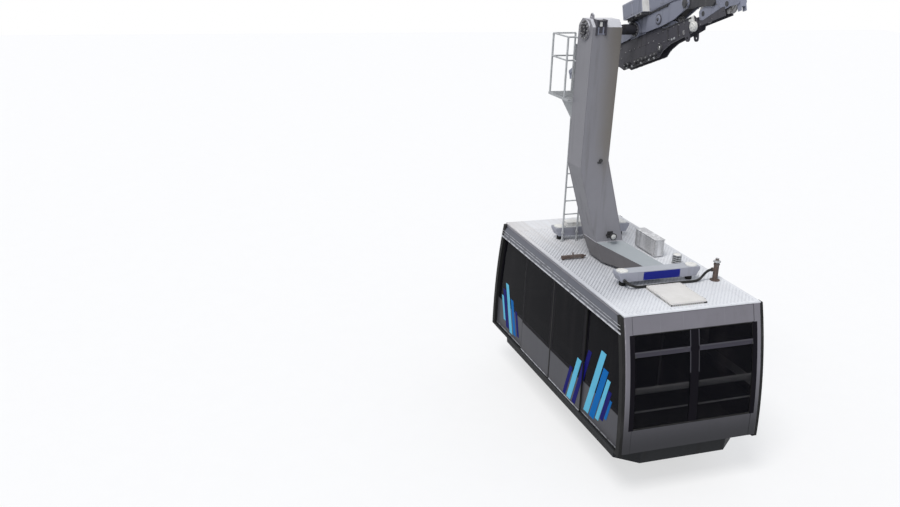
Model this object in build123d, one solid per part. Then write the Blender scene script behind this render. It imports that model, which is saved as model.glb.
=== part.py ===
from build123d import *
import os
from math import cos, radians, sqrt, tan

# Cable car: a cabin on a hanger under a carriage that runs on one track rope.
# Sizes are in millimetres. X runs along the cabin to its uphill end, Y across, Z up.
# The row's origin is on the track rope's axis, straight below the main pin.

# Driving sizes of the rope line
ROPE_SLOPE = 19.0
ROPE_R = 25.0
ROOF_DROP = 3710.0
FIT = 0.3
RUNNING = 0.05

# Driving sizes of the cabin, heights counted down from the roof's edge
END_R = 7260.0
END_REACH = 2800.0
END_FOOT_Z = -2240.0
ROOF_W = 2500.0
ROOF_EDGE_T = 28.0
ROOF_T = 70.0
ROOF_ROUND = 14.0
POST_W = 135.0
POST_ROUND = 20.0
POST_INSET = 5.0
END_T = 60.0
WALL_INSET = 10.0
WALL_T = 40.0
GLASS_T = 8.0
DOOR_GAP = 6.0
DOOR_T = 28.0
DOOR_W = 1300.0
DOOR_MEET = 2.0
DOOR_LAP = 50.0
BAND_Z = -300.0
BELT_Z = -1675.0
BODY_FOOT_Z = -2262.0
FLOOR_Z = -2220.0
FLOOR_T = 80.0
FRAME_BAR = 46.0
HEADER_Z = -310.0
SILL_Z = -1860.0
TRANSOM_Z = -590.0
TRANSOM_H = 26.0
BOARD_Z = (-1460.0, -1310.0)
BOARD_T = 12.0
MULLION_W = 150.0
STRIP_W = 60.0
STRIP_PROUD = 50.0
SKIRT_X = 2650.0
SKIRT_INSET = 100.0
SKIRT_CUT_X = 300.0
SKIRT_CUT_Y = 350.0
SKIRT_DEPTH = 285.0
SKIRT_T = 24.0
SKIRT_TAPER = 4.0

# Driving sizes of the door track and the sill
RAIL_END = 122.0
RAIL_PROUD = 52.0
RAIL_TOP_PROUD = 8.0
RAIL_TOP_H = 122.0
SLOT_GAP = 4.0
SLOT_TOP_Z = -220.0
LIP_T = 8.0
NECK_T = 8.0
RUNNER_W = 110.0
RUNNER_H = 40.0
RUNNER_GAP = 0.5
RUNNER_PLACES = (230.0, 1070.0)
SILL_REACH = 2620.0
FIN_T = 12.0
FIN_H = 28.0

# Driving sizes of the roof hatch
HATCH_IN = 490.0
HATCH_L = 820.0
HATCH_Y = 330.0
COAMING_T = 22.0
COAMING_H = 25.0
LID_T = 22.0
LID_GAP = 1.0
LID_SHORT = 4.0
HINGE_OUT = 10.0
HINGE_R = 9.0
HINGE_PIN_R = 5.0
HINGE_L = 70.0
LUG_T = 10.0
HINGE_IN = 130.0

# Driving sizes of the inside
PAD_T = 40.0
PAD_Z = (-1310.0, -1180.0)
RAIL_R = 16.0
RAIL_Z = -1600.0
POLE_R = 18.0
POLE_X = 900.0
POLE_Y = 500.0

# Driving sizes of the hanger
PIN_R = 60.0
PIN_N = 320.0
MAST_DEPTH = 500.0
MAST_OUT_Y = -1050.0
MAST_IN_Y = -520.0
MAST_TOP_Z = 4228.0
MAST_TOP_CUT = 110.0
KINK_IN_Y = -560.0
KINK_OUT_Y = -1070.0
KINK_OUT_Z = 1770.0
KINK_IN_Z = 1900.0
FOOT_TOP_Z = 420.0
FOOT_OUT_Y = -650.0
FOOT_IN_Y = -140.0
FOOT_LOW_Y = -500.0
FOOT_LOW_Z = 40.0
MAST_T = 14.0
BAR_X0 = 1130.0
BAR_X1 = 1360.0
BAR_Y = 770.0
BAR_END_CUT = 60.0
BAR_END_H = 50.0
BUFFER_R = 58.0
BUFFER_Y = 635.0
CAP_R = 100.0
CAP_Y = 660.0
BAR_Z0 = 90.0
BAR_Z1 = 250.0
BAR_NECK_Y = 200.0
CASE_IN = 20.0
CASE_Y = (-540.0, -120.0)
CASE_H = 90.0
BOSS_R = 165.0
BOSS_T = 22.0
COLLAR_R = 82.0
END_NUT_R = 90.0
EYE_Y = -948.0
EYE_T = 25.0
EYE_R = 22.0
EYE_RISE = 50.0
LAMP_PLACE = (-400.0, 550.0)
LADDER_X = -1080.0
LADDER_Y = (-662.0, -368.0)
LADDER_RAIL_R = 17.0
RUNG_R = 12.0
RUNG_STEP = 261.0
RUNG_Z = 275.0
LADDER_SHORT = 200.0
BRACKET_Z = (150.0, 190.0)
DECK_Z = 2860.0
DECK_T = 40.0
DECK_X0 = -1050.0
DECK_Y0 = -1160.0
DECK_Y1 = -330.0
BRACE_IN = 150.0
BRACE_H = 400.0
BRACE_T = 30.0
GUARD_H = 1020.0
GUARD_MID = 630.0
GUARD_R = 17.0
GUARD_X = (-1030.0, -440.0)

# Driving sizes of what stands on the roof
CABINET_X = (-550.0, 170.0)
CABINET_Y = (590.0, 775.0)
CABINET_Z = (26.0, 330.0)
CABINET_FOOT = 80.0
CABINET_FOOT_IN = 30.0
PIPE_X = 1430.0
PIPE_EDGE = 205.0
PIPE_R = 45.0
PIPE_H = 330.0
CAP_H = 20.0
VALVE_H = 45.0
SOCKET_R = 30.0
SOCKET_L = 60.0
SOCKET_Z = 200.0
HOSE_R = 22.0
GLAND_PLACE = (-665.0, 116.0)
GLAND_R = 30.0
GLAND_L = 20.0
HOSE_PLACES = [(1380.3, -665, 116), (1425, -665, 116), (1464, -642, 98), (1480, -592, 70), (1477, -518, 40),
               (1463, -410, 24), (1449, -235, 22.3), (1437, 60, 22.3), (1431, 350, 22.3), (1438, 530, 22.3),
               (1440, 650, 23), (1428, 735, 38), (1416, 790, 76), (1415, 832, 126), (1424, 876, 174),
               (1430, 930, 200), (1430, 984.7, 200)]
HOOK_X = -130.0
HOOK_EDGE = 140.0
HOOK_L = 430.0
HOOK_W = 60.0
HOOK_Z = (22.0, 72.0)
HOOK_FOOT_IN = 30.0
SPIGOT_R = 16.0
SPIGOT_L = 40.0
DRUM_PLACE = (510.0, 850.0)
DRUM_R = 60.0
DRUM_RING_R = 84.0
DRUM_H = 165.0
DRUM_RINGS = 4
DRUM_RING_T = 16.0
FLANGE_T = 12.0

# Driving sizes of the carriage, along the rope (s) and square to it (n)
WHEEL_R = 115.0
FLANGE_R = 140.0
WHEEL_W = 84.0
AXLE_R = 30.0
WHEEL_STEP = 300.0
ROCKER_STEP = 680.0
BOGIE_S = 1500.0
ROCKER_N = 235.0
BOGIE_N = 385.0
ROCKER_PIN_R = 28.0
BOGIE_PIN_R = 38.0
SHOE_REACH = 260.0
SHOE_HALF = 38.0
SHOE_CLEAR = 6.0
PLATE_GAP = 6.0
ROCKER_T = 12.0
BOGIE_T = 16.0
MAIN_T = 20.0
PANEL_T = 14.0
BEARING_S = 250.0
BEARING_R = 130.0
BOGIE_EYE_R = 85.0
BEARING_LOW_N = 200.0
COVER_N = 480.0
HOUSING_N = 510.0
HOUSING_S = (-190.0, 450.0)
HOUSING_Y = 240.0
HOUSING_H = 260.0
COVER_END_S = 1250.0
COVER_H = 240.0
SEAT_IN = 30.0
BRAKE_S = 300.0
BRAKE_LOW_N = -70.0
HAUL_S = 1450.0
HAUL_N = -135.0
HAUL_BORE_R = 25.0
EAR_R = 52.0
EAR_T = 10.0
SENSOR_S = 1660.0
SENSOR_R = 75.0
MAIN_HALF = [(150, 450), (420, 505), (950, 497), (1400, 468), (1480, 300), (1150, 225), (800, 205),
             (330, 210), (120, 240)]
PANEL_HALF = [(700, 200), (760, 165), (1660, 165), (1710, 120), (1740, 20), (1700, -60), (1450, -85),
              (970, -115), (720, -175), (580, -255)]

# Sizes that follow from the driving ones
HALF_W = ROOF_W / 2
POST_FACE_Y = HALF_W - POST_INSET
WALL_FACE_Y = HALF_W - WALL_INSET
STRIP_FACE_Y = HALF_W + STRIP_PROUD
RAIL_OUT_Y = HALF_W + RAIL_PROUD
SKIRT_Y = HALF_W - SKIRT_INSET
SLOPE = radians(ROPE_SLOPE)
PIN_Z = PIN_N / cos(SLOPE)
CARRIAGE_SHIFT = PIN_N * tan(SLOPE)
WHEEL_N = ROPE_R + WHEEL_R
ROCKER_Y = WHEEL_W / 2 + PLATE_GAP
BOGIE_Y = ROCKER_Y + ROCKER_T + PLATE_GAP
MAIN_Y = BOGIE_Y + BOGIE_T + PLATE_GAP + 2
PANEL_Y = ROCKER_Y + ROCKER_T + 4
WALL_IN_Y = WALL_FACE_Y - WALL_T
DOOR_IN_Y = WALL_FACE_Y + DOOR_GAP
DOOR_FACE_Y = DOOR_IN_Y + DOOR_T
POST_IN_Y = POST_FACE_Y - POST_W
JAMB_X = DOOR_W - DOOR_LAP
DOOR_TOP_Z = BAND_Z - DOOR_GAP
INNER = END_T + FIT
DOOR_MID_Y = (DOOR_IN_Y + DOOR_FACE_Y) / 2
SILL_TOP_Z = BODY_FOOT_Z - DOOR_GAP
SILL_LOW_Z = FLOOR_Z - FLOOR_T - DOOR_GAP
BAR_MID_X = (BAR_X0 + BAR_X1) / 2
HATCH_X1 = END_REACH - HATCH_IN
HATCH_X0 = HATCH_X1 - HATCH_L
HINGE_PLACES = (HATCH_X0 + HINGE_IN, HATCH_X1 - HINGE_IN)
HINGE_Z = COAMING_H + LID_GAP + LID_T / 2
HINGE_Y = HATCH_Y + HINGE_OUT
ROCKER_S = (-BOGIE_S - ROCKER_STEP, -BOGIE_S + ROCKER_STEP, BOGIE_S - ROCKER_STEP, BOGIE_S + ROCKER_STEP)
WHEEL_S = [s + side * WHEEL_STEP for s in ROCKER_S for side in (-1, 1)]


def box(x0, x1, y0, y1, z0, z1):
    """A block between two corners."""
    middle = Pos((x0 + x1) / 2, (y0 + y1) / 2, (z0 + z1) / 2)
    return middle * Box(x1 - x0, y1 - y0, z1 - z0)


def across(face, y0, y1):
    """A face drawn in X and Z, made solid from y0 to y1."""
    plane = Plane(origin=(0, y1, 0), x_dir=(1, 0, 0), z_dir=(0, -1, 0))
    return extrude(plane * face, y1 - y0)


def plate(points, y0, y1):
    """A flat plate from its outline in X and Z."""
    return across(make_face(Polyline(*points, close=True)), y0, y1)


def along(points, x0, x1):
    """A straight section from its outline in Y and Z."""
    return extrude(Plane.YZ.offset(x0) * make_face(Polyline(*points, close=True)), x1 - x0, dir=(1, 0, 0))


def link(circles, y0, y1):
    """A plate whose outline wraps round circles, each given as x, z, radius."""
    edges = [edge for x, z, r in circles for edge in (Pos(x, z) * Circle(r)).edges()]
    return across(make_hull(edges), y0, y1)


def rod(x, z, y0, y1, r):
    """A round bar along Y."""
    return Pos(x, (y0 + y1) / 2, z) * Rot(90, 0, 0) * Cylinder(r, y1 - y0)


def post(x, y, z0, z1, r):
    """A round bar along Z."""
    return Pos(x, y, (z0 + z1) / 2) * Cylinder(r, z1 - z0)


def bar_x(x0, x1, y, z, r):
    """A round bar along X."""
    return Pos((x0 + x1) / 2, y, z) * Rot(0, 90, 0) * Cylinder(r, x1 - x0)


def joined(pieces):
    """Pieces that touch or overlap, made one."""
    first, *rest = pieces
    return first + rest if rest else first


def flip_x(shape):
    """The same piece at the other end."""
    return mirror(shape, Plane.YZ)


def flip_y(shape):
    """The same piece on the other side."""
    return mirror(shape, Plane.XZ)


def both_ends(shape):
    """A piece of the uphill end and its twin of the downhill end."""
    return [shape, flip_x(shape)]


def both_sides(shapes):
    """Pieces of one side and their twins of the other."""
    return list(shapes) + [flip_y(shape) for shape in shapes]


def end_x(inset, z):
    """How far out the curved end is at a height, that far in from its face."""
    return END_REACH - END_R + sqrt((END_R - inset) ** 2 - (z - END_FOOT_Z) ** 2)


def end_arc(inset, low, high):
    """The curve of the uphill end between two heights."""
    places = [(end_x(inset, z), z) for z in (low, (low + high) / 2, high)]
    return ThreePointArc(*places)


def bay(x0, inset, low, high):
    """A region of the side view from x0 to the curved end."""
    arc = end_arc(inset, low, high)
    lines = Polyline((end_x(inset, high), high), (x0, high), (x0, low), (end_x(inset, low), low))
    return make_face([arc, *lines.edges()])


def whole(inset, low, high):
    """The whole side view between two heights."""
    arc = end_arc(inset, low, high)
    back = mirror(arc, Plane.YZ)
    top = Line((end_x(inset, high), high), (-end_x(inset, high), high))
    bottom = Line((end_x(inset, low), low), (-end_x(inset, low), low))
    return make_face([arc, top, back, bottom])


def end_slab(outer, inner, y0, y1, low, high):
    """A piece of the curved uphill end between two depths in from its face."""
    top = Line((end_x(outer, high), high), (end_x(inner, high), high))
    bottom = Line((end_x(outer, low), low), (end_x(inner, low), low))
    face = make_face([end_arc(outer, low, high), top, end_arc(inner, low, high), bottom])
    return across(face, y0, y1)


# Roof
def roof():
    """The roof slab, thin at its edge, with the hatch opening cut through."""
    edge = across(whole(0, -ROOF_EDGE_T, 0), -HALF_W, HALF_W)
    edge = fillet(edge.edges().group_by(Axis.Z)[-1], ROOF_ROUND)
    inside = WALL_IN_Y - FIT
    ceiling = across(whole(INNER, -ROOF_T, -ROOF_EDGE_T), -inside, inside)
    return edge + ceiling - hatch_hole(-ROOF_T - 1, 1)


def hatch_hole(low, high):
    """The space of the hatch opening between two heights."""
    inside = HATCH_Y - COAMING_T
    return box(HATCH_X0 + COAMING_T, HATCH_X1 - COAMING_T, -inside, inside, low, high)


def hatch_coaming():
    """The raised ring round the roof hatch, with the fixed lugs and pins of its hinges."""
    ring = box(HATCH_X0, HATCH_X1, -HATCH_Y, HATCH_Y, 0, COAMING_H) - hatch_hole(-1, COAMING_H + 1)
    reach = HINGE_L / 2 + LUG_T
    for x in HINGE_PLACES:
        for lug_x in (x - reach, x + reach - LUG_T):
            ring += box(lug_x, lug_x + LUG_T, HATCH_Y, HINGE_Y + HINGE_R, 0, HINGE_Z)
            ring += bar_x(lug_x, lug_x + LUG_T, HINGE_Y, HINGE_Z, HINGE_R)
        ring += bar_x(x - reach, x + reach, HINGE_Y, HINGE_Z, HINGE_PIN_R)
    return ring


def hatch_lid():
    """The hatch plate with its hinge barrels."""
    low = COAMING_H + LID_GAP
    lid = box(HATCH_X0, HATCH_X1, -HATCH_Y, HATCH_Y - LID_SHORT, low, low + LID_T)
    lid = fillet(lid.edges().filter_by(Axis.Z), 30)
    half = HINGE_L / 2 - LID_GAP
    for x in HINGE_PLACES:
        lid += box(x - half, x + half, HATCH_Y - 20, HINGE_Y, HINGE_Z - 5, HINGE_Z + 5)
        lid += bar_x(x - half, x + half, HINGE_Y, HINGE_Z, HINGE_R)
        lid -= bar_x(x - HINGE_L, x + HINGE_L, HINGE_Y, HINGE_Z, HINGE_PIN_R + RUNNING)
    return lid


# Cabin ends
def corner_posts():
    """Four curved posts at the cabin's corners, their outer edges rounded."""
    one = end_slab(0, END_T, POST_IN_Y, POST_FACE_Y, BODY_FOOT_Z, -ROOF_EDGE_T)
    outer = one.edges().filter_by(GeomType.CIRCLE).sort_by(lambda e: -e.center().X - e.center().Y)[0]
    return both_sides(both_ends(fillet(outer, POST_ROUND)))


def end_panels():
    """The panels above and below the end windows."""
    header = end_slab(3, END_T, -POST_IN_Y, POST_IN_Y, HEADER_Z, -ROOF_EDGE_T)
    lower = end_slab(3, END_T, -POST_IN_Y, POST_IN_Y, BODY_FOOT_Z, SILL_Z)
    return both_ends(header) + both_ends(lower)


def end_mullions():
    """The middle bar and the transom of each end window."""
    bar = end_slab(10, 50, -MULLION_W / 2, MULLION_W / 2, SILL_Z, HEADER_Z)
    low, high = TRANSOM_Z - TRANSOM_H / 2, TRANSOM_Z + TRANSOM_H / 2
    return both_ends(bar + end_slab(8, 44, -POST_IN_Y, POST_IN_Y, low, high))


def end_glass():
    """Two panes and two fanlights at each end."""
    heights = ((SILL_Z, TRANSOM_Z - TRANSOM_H / 2), (TRANSOM_Z + TRANSOM_H / 2, HEADER_Z))
    panes = [end_slab(18, 18 + GLASS_T, MULLION_W / 2, POST_IN_Y, low, high) for low, high in heights]
    return both_sides([twin for pane in panes for twin in both_ends(pane)])


# Cabin sides, drawn on the +Y side and flipped to the other
def side_panels():
    """The fixed wall beside the doorway at each end, its window cut and crossed by the guard board."""
    y0, y1 = WALL_IN_Y - 1, WALL_FACE_Y + 1
    wall = across(bay(JAMB_X, INNER, BODY_FOOT_Z, -ROOF_EDGE_T), WALL_IN_Y, WALL_FACE_Y)
    wall -= across(bay(0, RAIL_END, BAND_Z, -ROOF_EDGE_T + 1), y0, y1)
    edge = INNER + STRIP_W
    wall -= across(bay(JAMB_X + FRAME_BAR, edge + FRAME_BAR, BELT_Z + FRAME_BAR, BAND_Z - FRAME_BAR), y0, y1)
    wall -= across(bay(JAMB_X + 6, edge, BELT_Z, BAND_Z - 6), WALL_FACE_Y - GLASS_T, y1)
    bar = FRAME_BAR - 1
    wall += across(bay(JAMB_X + bar, edge + bar, *BOARD_Z), WALL_IN_Y, WALL_IN_Y + BOARD_T)
    return both_sides(both_ends(wall))


def side_glass():
    """The fixed panes, bonded on the outside of the wall."""
    region = bay(JAMB_X + 8, INNER + STRIP_W + 2, BELT_Z + 2, BAND_Z - 8)
    return both_sides(both_ends(across(region, WALL_FACE_Y - GLASS_T, WALL_FACE_Y)))


def edge_strips():
    """The black upright at each end of a side, standing proud of wall and post."""
    strip = end_slab(INNER, INNER + STRIP_W, WALL_FACE_Y, STRIP_FACE_Y, BODY_FOOT_Z, -ROOF_EDGE_T)
    strip += end_slab(16, INNER, POST_FACE_Y, STRIP_FACE_Y, BODY_FOOT_Z, -ROOF_EDGE_T)
    return both_sides(both_ends(strip))


def door_rails():
    """The cant rail along each roof edge, slotted below for the doors' runners."""
    slot_in, slot_out = DOOR_IN_Y - SLOT_GAP, DOOR_FACE_Y + SLOT_GAP
    neck = NECK_T / 2 + DOOR_GAP
    neck_in, neck_out = DOOR_MID_Y - neck, DOOR_MID_Y + neck
    lip = BAND_Z + LIP_T
    top_y, corner_z = HALF_W + RAIL_TOP_PROUD, -ROOF_EDGE_T - RAIL_TOP_H
    points = [(WALL_IN_Y, -ROOF_EDGE_T), (top_y, -ROOF_EDGE_T), (RAIL_OUT_Y, corner_z), (RAIL_OUT_Y, BAND_Z),
              (neck_out, BAND_Z), (neck_out, lip), (slot_out, lip), (slot_out, SLOT_TOP_Z),
              (slot_in, SLOT_TOP_Z), (slot_in, lip), (neck_in, lip), (neck_in, BAND_Z), (WALL_IN_Y, BAND_Z)]
    reach = END_REACH
    rail = along(points, -reach, reach)
    rail &= across(whole(RAIL_END + FIT, BAND_Z - 1, 0), WALL_IN_Y - 1, RAIL_OUT_Y + 1)
    return both_sides([rail])


def door_sills():
    """The sill below each side, grooved for the doors' guide fins."""
    half = FIN_T / 2 + DOOR_GAP
    sill = box(-SILL_REACH, SILL_REACH, WALL_IN_Y, RAIL_OUT_Y, SILL_LOW_Z, SILL_TOP_Z)
    groove = box(-SILL_REACH - 1, SILL_REACH + 1, DOOR_MID_Y - half, DOOR_MID_Y + half,
                 SILL_TOP_Z - FIN_H - 2, SILL_TOP_Z + 1)
    return both_sides([sill - groove])


def door_leaf():
    """One leaf's frame round its window, a guard board across it, runners above and a fin below."""
    leaf = box(DOOR_MEET, DOOR_W, DOOR_IN_Y, DOOR_FACE_Y, BODY_FOOT_Z, DOOR_TOP_Z)
    leaf -= box(DOOR_MEET + FRAME_BAR, DOOR_W - FRAME_BAR, DOOR_IN_Y - 1, DOOR_FACE_Y + 1,
                BELT_Z + FRAME_BAR, DOOR_TOP_Z - FRAME_BAR)
    leaf -= box(DOOR_MEET + 6, DOOR_W - 6, DOOR_FACE_Y - GLASS_T, DOOR_FACE_Y + 1, BELT_Z, DOOR_TOP_Z - 6)
    bar = FRAME_BAR - 1
    leaf += box(DOOR_MEET + bar, DOOR_W - bar, DOOR_IN_Y, DOOR_IN_Y + BOARD_T, *BOARD_Z)
    seat = BAND_Z + LIP_T + RUNNER_GAP
    half = RUNNER_W / 2
    for x in RUNNER_PLACES:
        leaf += box(x - half, x + half, DOOR_MID_Y - NECK_T / 2, DOOR_MID_Y + NECK_T / 2, DOOR_TOP_Z, seat)
        leaf += box(x - half, x + half, DOOR_IN_Y, DOOR_FACE_Y, seat, seat + RUNNER_H)
    return leaf + box(40, DOOR_W - 40, DOOR_MID_Y - FIN_T / 2, DOOR_MID_Y + FIN_T / 2,
                      BODY_FOOT_Z - FIN_H, BODY_FOOT_Z)


def door_glass():
    """One leaf's pane."""
    return box(DOOR_MEET + 8, DOOR_W - 8, DOOR_FACE_Y - GLASS_T, DOOR_FACE_Y, BELT_Z + 2, DOOR_TOP_Z - 8)


# Floor, underframe and inside
def floor():
    """The floor deck."""
    return across(whole(INNER, FLOOR_Z - FLOOR_T, FLOOR_Z), -WALL_IN_Y, WALL_IN_Y)


def skirt_plan(inset):
    """The underframe's outline from above, its corners cut off."""
    x, y = SKIRT_X - inset, SKIRT_Y - inset
    quarter = [(x, y - SKIRT_CUT_Y), (x - SKIRT_CUT_X, y)]
    half = quarter + [(-a, b) for a, b in reversed(quarter)]
    return make_face(Polyline(*half, *[(a, -b) for a, b in reversed(half)], close=True))


def underframe():
    """The dark tray under the floor, tapered a little towards its bottom."""
    top = FLOOR_Z - FLOOR_T
    tray = extrude(Pos(0, 0, top) * skirt_plan(0), -SKIRT_DEPTH, taper=SKIRT_TAPER)
    return tray - extrude(Pos(0, 0, top) * skirt_plan(SKIRT_T), SKIRT_T - SKIRT_DEPTH, taper=SKIRT_TAPER)


def leaning_pads():
    """The padded board across each end, behind the corner posts."""
    inside = WALL_IN_Y - FIT
    return both_ends(end_slab(INNER, INNER + PAD_T, -inside, inside, *PAD_Z))


def handrails():
    """A tube across each end window near its foot, and four poles from floor to ceiling."""
    x = end_x(95, RAIL_Z)
    tubes = both_ends(rod(x, RAIL_Z, FIT - WALL_IN_Y, WALL_IN_Y - FIT, RAIL_R))
    places = [(i * POLE_X, j * POLE_Y) for i in (-1, 1) for j in (-1, 1)]
    return tubes + [post(x, y, FLOOR_Z, -ROOF_T, POLE_R) for x, y in places]


# Hanger
def mast():
    """The hollow mast, upright above and cranked in to the foot below, with its lifting eye."""
    t = MAST_T
    half = MAST_DEPTH / 2
    top, cut = MAST_TOP_Z, MAST_TOP_CUT
    body = along(mast_front(0), -half, half) & plate(mast_side(half, top, cut), MAST_OUT_Y - 100, 0)
    inside = plate(mast_side(half - t, top - t, cut - 8), MAST_OUT_Y - 100, 0)
    body -= along(mast_front(t), t - half, half - t) & inside
    z = ROOF_DROP + PIN_Z
    body += rod(0, z, MAST_OUT_Y, MAST_IN_Y, PIN_R + 50)
    body += rod(0, z, MAST_OUT_Y - BOSS_T, MAST_OUT_Y, BOSS_R)
    body -= rod(0, z, MAST_OUT_Y - BOSS_T - 1, MAST_IN_Y + 1, PIN_R + FIT)
    eye = plate([(-60, top), (60, top), (45, top + 70), (0, top + 95), (-45, top + 70)],
                EYE_Y - EYE_T / 2, EYE_Y + EYE_T / 2)
    return body + (eye - rod(0, top + EYE_RISE, EYE_Y - EYE_T, EYE_Y + EYE_T, EYE_R))


def mast_front(inset):
    """The mast's view along the rope, cranked between head and foot, that far in from its faces."""
    top, low = MAST_TOP_Z - inset, FOOT_TOP_Z + inset
    outer = [(FOOT_OUT_Y + inset, low), (KINK_OUT_Y + inset, KINK_OUT_Z), (MAST_OUT_Y + inset, top)]
    inner = [(MAST_IN_Y - inset, top), (KINK_IN_Y - inset, KINK_IN_Z), (FOOT_IN_Y - inset, low)]
    return outer + inner


def mast_side(half, top, cut):
    """The mast's side view, its two top corners cut off."""
    right = [(half, 0), (half, top - cut), (half - cut, top)]
    return right + [(-x, z) for x, z in reversed(right)]


def main_pin():
    """The pin that carries the hanger and turns in the carriage's main bearing."""
    z = ROOF_DROP + PIN_Z
    face = MAIN_Y + MAIN_T
    pin = rod(0, z, MAST_OUT_Y - BOSS_T - 18, face + 40, PIN_R)
    pin += rod(0, z, MAST_IN_Y, -face - DOOR_GAP, COLLAR_R)
    pin += rod(0, z, face + DOOR_GAP, face + 40, END_NUT_R)
    return pin + rod(0, z, MAST_OUT_Y - BOSS_T - 28, MAST_OUT_Y - BOSS_T, END_NUT_R)


def foot():
    """The foot block under the mast and the two skewed beams out to the crossbars."""
    half = MAST_DEPTH / 2
    root = [(FOOT_LOW_Y, FOOT_LOW_Z), (FOOT_IN_Y + 20, FOOT_LOW_Z)]
    root += [(FOOT_IN_Y, FOOT_TOP_Z), (FOOT_OUT_Y, FOOT_TOP_Z)]
    neck = BAR_NECK_Y
    tip = [(-neck, BAR_Z0), (neck, BAR_Z0), (neck, BAR_Z1), (-neck, BAR_Z1)]
    root_face = make_face(Polyline(*root, close=True))
    tip_face = make_face(Polyline(*tip, close=True))
    beam = loft([Plane.YZ.offset(half) * root_face, Plane.YZ.offset(BAR_X0) * tip_face])
    return along(root, -half, half) + beam + flip_x(beam)


def crossbars():
    """The two bars across the roof, their ends cut in below, with the hose's gland on the uphill one."""
    low, mid = BAR_Y - BAR_END_CUT, BAR_Z1 - BAR_END_H
    half = [(BAR_Y, BAR_Z1), (BAR_Y, mid), (low, BAR_Z0)]
    outline = half + [(-y, z) for y, z in reversed(half)]
    uphill, downhill = both_ends(along(outline, BAR_X0, BAR_X1))
    return [uphill + bar_x(BAR_X1 - 1, BAR_X1 + GLAND_L, *GLAND_PLACE, GLAND_R), downhill]


def roof_buffers():
    """Rubber buffers between roof and crossbars."""
    return [post(i * BAR_MID_X, j * BUFFER_Y, 0, BAR_Z0, BUFFER_R) for i in (-1, 1) for j in (-1, 1)]


def buffer_caps():
    """Round white caps over the buffers."""
    return [post(i * BAR_MID_X, j * CAP_Y, BAR_Z1, BAR_Z1 + 14, CAP_R) for i in (-1, 1) for j in (-1, 1)]


def crossbar_box():
    """The box that stands on the downhill crossbar."""
    return box(CASE_IN - BAR_X1, -BAR_X0 - CASE_IN, *CASE_Y, BAR_Z1, BAR_Z1 + CASE_H)


def access_ladder():
    """The roof ladder, from the roof to above the platform: rungs and brackets coped to two rails."""
    top = DECK_Z + GUARD_H - LADDER_SHORT
    count = int((DECK_Z + 100 - RUNG_Z) / RUNG_STEP) + 1
    pieces = [rod(LADDER_X, RUNG_Z + k * RUNG_STEP, *LADDER_Y, RUNG_R) for k in range(count)]
    for y in LADDER_Y:
        side = (y - RUNG_R, y + RUNG_R)
        pieces.append(box(-BAR_X0, LADDER_X, *side, *BRACKET_Z))
        pieces.append(box(LADDER_X, DECK_X0, *side, DECK_Z - DECK_T + 10, DECK_Z - 10))
    for y in LADDER_Y:
        coping = post(LADDER_X, y, 0, top, LADDER_RAIL_R + FIT)
        pieces = [piece - coping for piece in pieces]
    return pieces + [post(LADDER_X, y, 0, top, LADDER_RAIL_R) for y in LADDER_Y]


def service_platform():
    """The platform behind the mast, its brackets and the guard rail, open at the ladder."""
    rear = -MAST_DEPTH / 2
    low = DECK_Z - DECK_T
    pieces = [box(DECK_X0, rear, DECK_Y0, DECK_Y1, low, DECK_Z)]
    for y in (MAST_OUT_Y + 40, MAST_IN_Y - 90):
        corners = [(rear, low), (DECK_X0 + BRACE_IN, low), (rear, low - BRACE_H)]
        pieces.append(plate(corners, y, y + BRACE_T))
    far, near = GUARD_X
    y0, y1 = DECK_Y0 + 20, DECK_Y1 - 20
    y2, y3, y4 = LADDER_Y[0] - 60, MAST_IN_Y - 60, MAST_OUT_Y + 40
    top = DECK_Z + GUARD_H
    for x, y in ((far, y0), (near, y0), (far, y1), (near, y1), (far, y2), (near, y3)):
        pieces.append(post(x, y, DECK_Z, top, GUARD_R))
    r = GUARD_R * 0.8
    for z in (top, DECK_Z + GUARD_MID):
        pieces += [bar_x(far, near, y0, z, r), bar_x(far, near, y1, z, r), bar_x(near - r, rear, y4, z, r)]
        pieces += [bar_x(near, rear, y3, z, r), rod(near, z, y0, y4 + r, r), rod(near, z, y3, y1, r)]
        pieces.append(rod(far, z, y0, y2, r))
    return joined(pieces)


# Carriage, drawn along the rope and turned to its slope at the end
def track_wheel():
    """One grooved sheave on its own axis, hollowed between hub and rim."""
    half = WHEEL_W / 2
    groove = ROPE_R + 3
    bore, hub, rim, web = AXLE_R + RUNNING, AXLE_R + 22, WHEEL_R - 32, half - 20
    points = [(bore, -half), (hub, -half), (hub, -web), (rim, -web), (rim, -half), (FLANGE_R, -half),
              (FLANGE_R, -groove)]
    lower = Polyline(*points)
    upper = Polyline(*[(r, -y) for r, y in points])
    tread = ThreePointArc((FLANGE_R, -groove), (WHEEL_R, 0), (FLANGE_R, groove))
    face = make_face([*lower.edges(), tread, *upper.edges(), Line((bore, -half), (bore, half))])
    return revolve(Plane.XY * face, Axis.Y)


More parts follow.
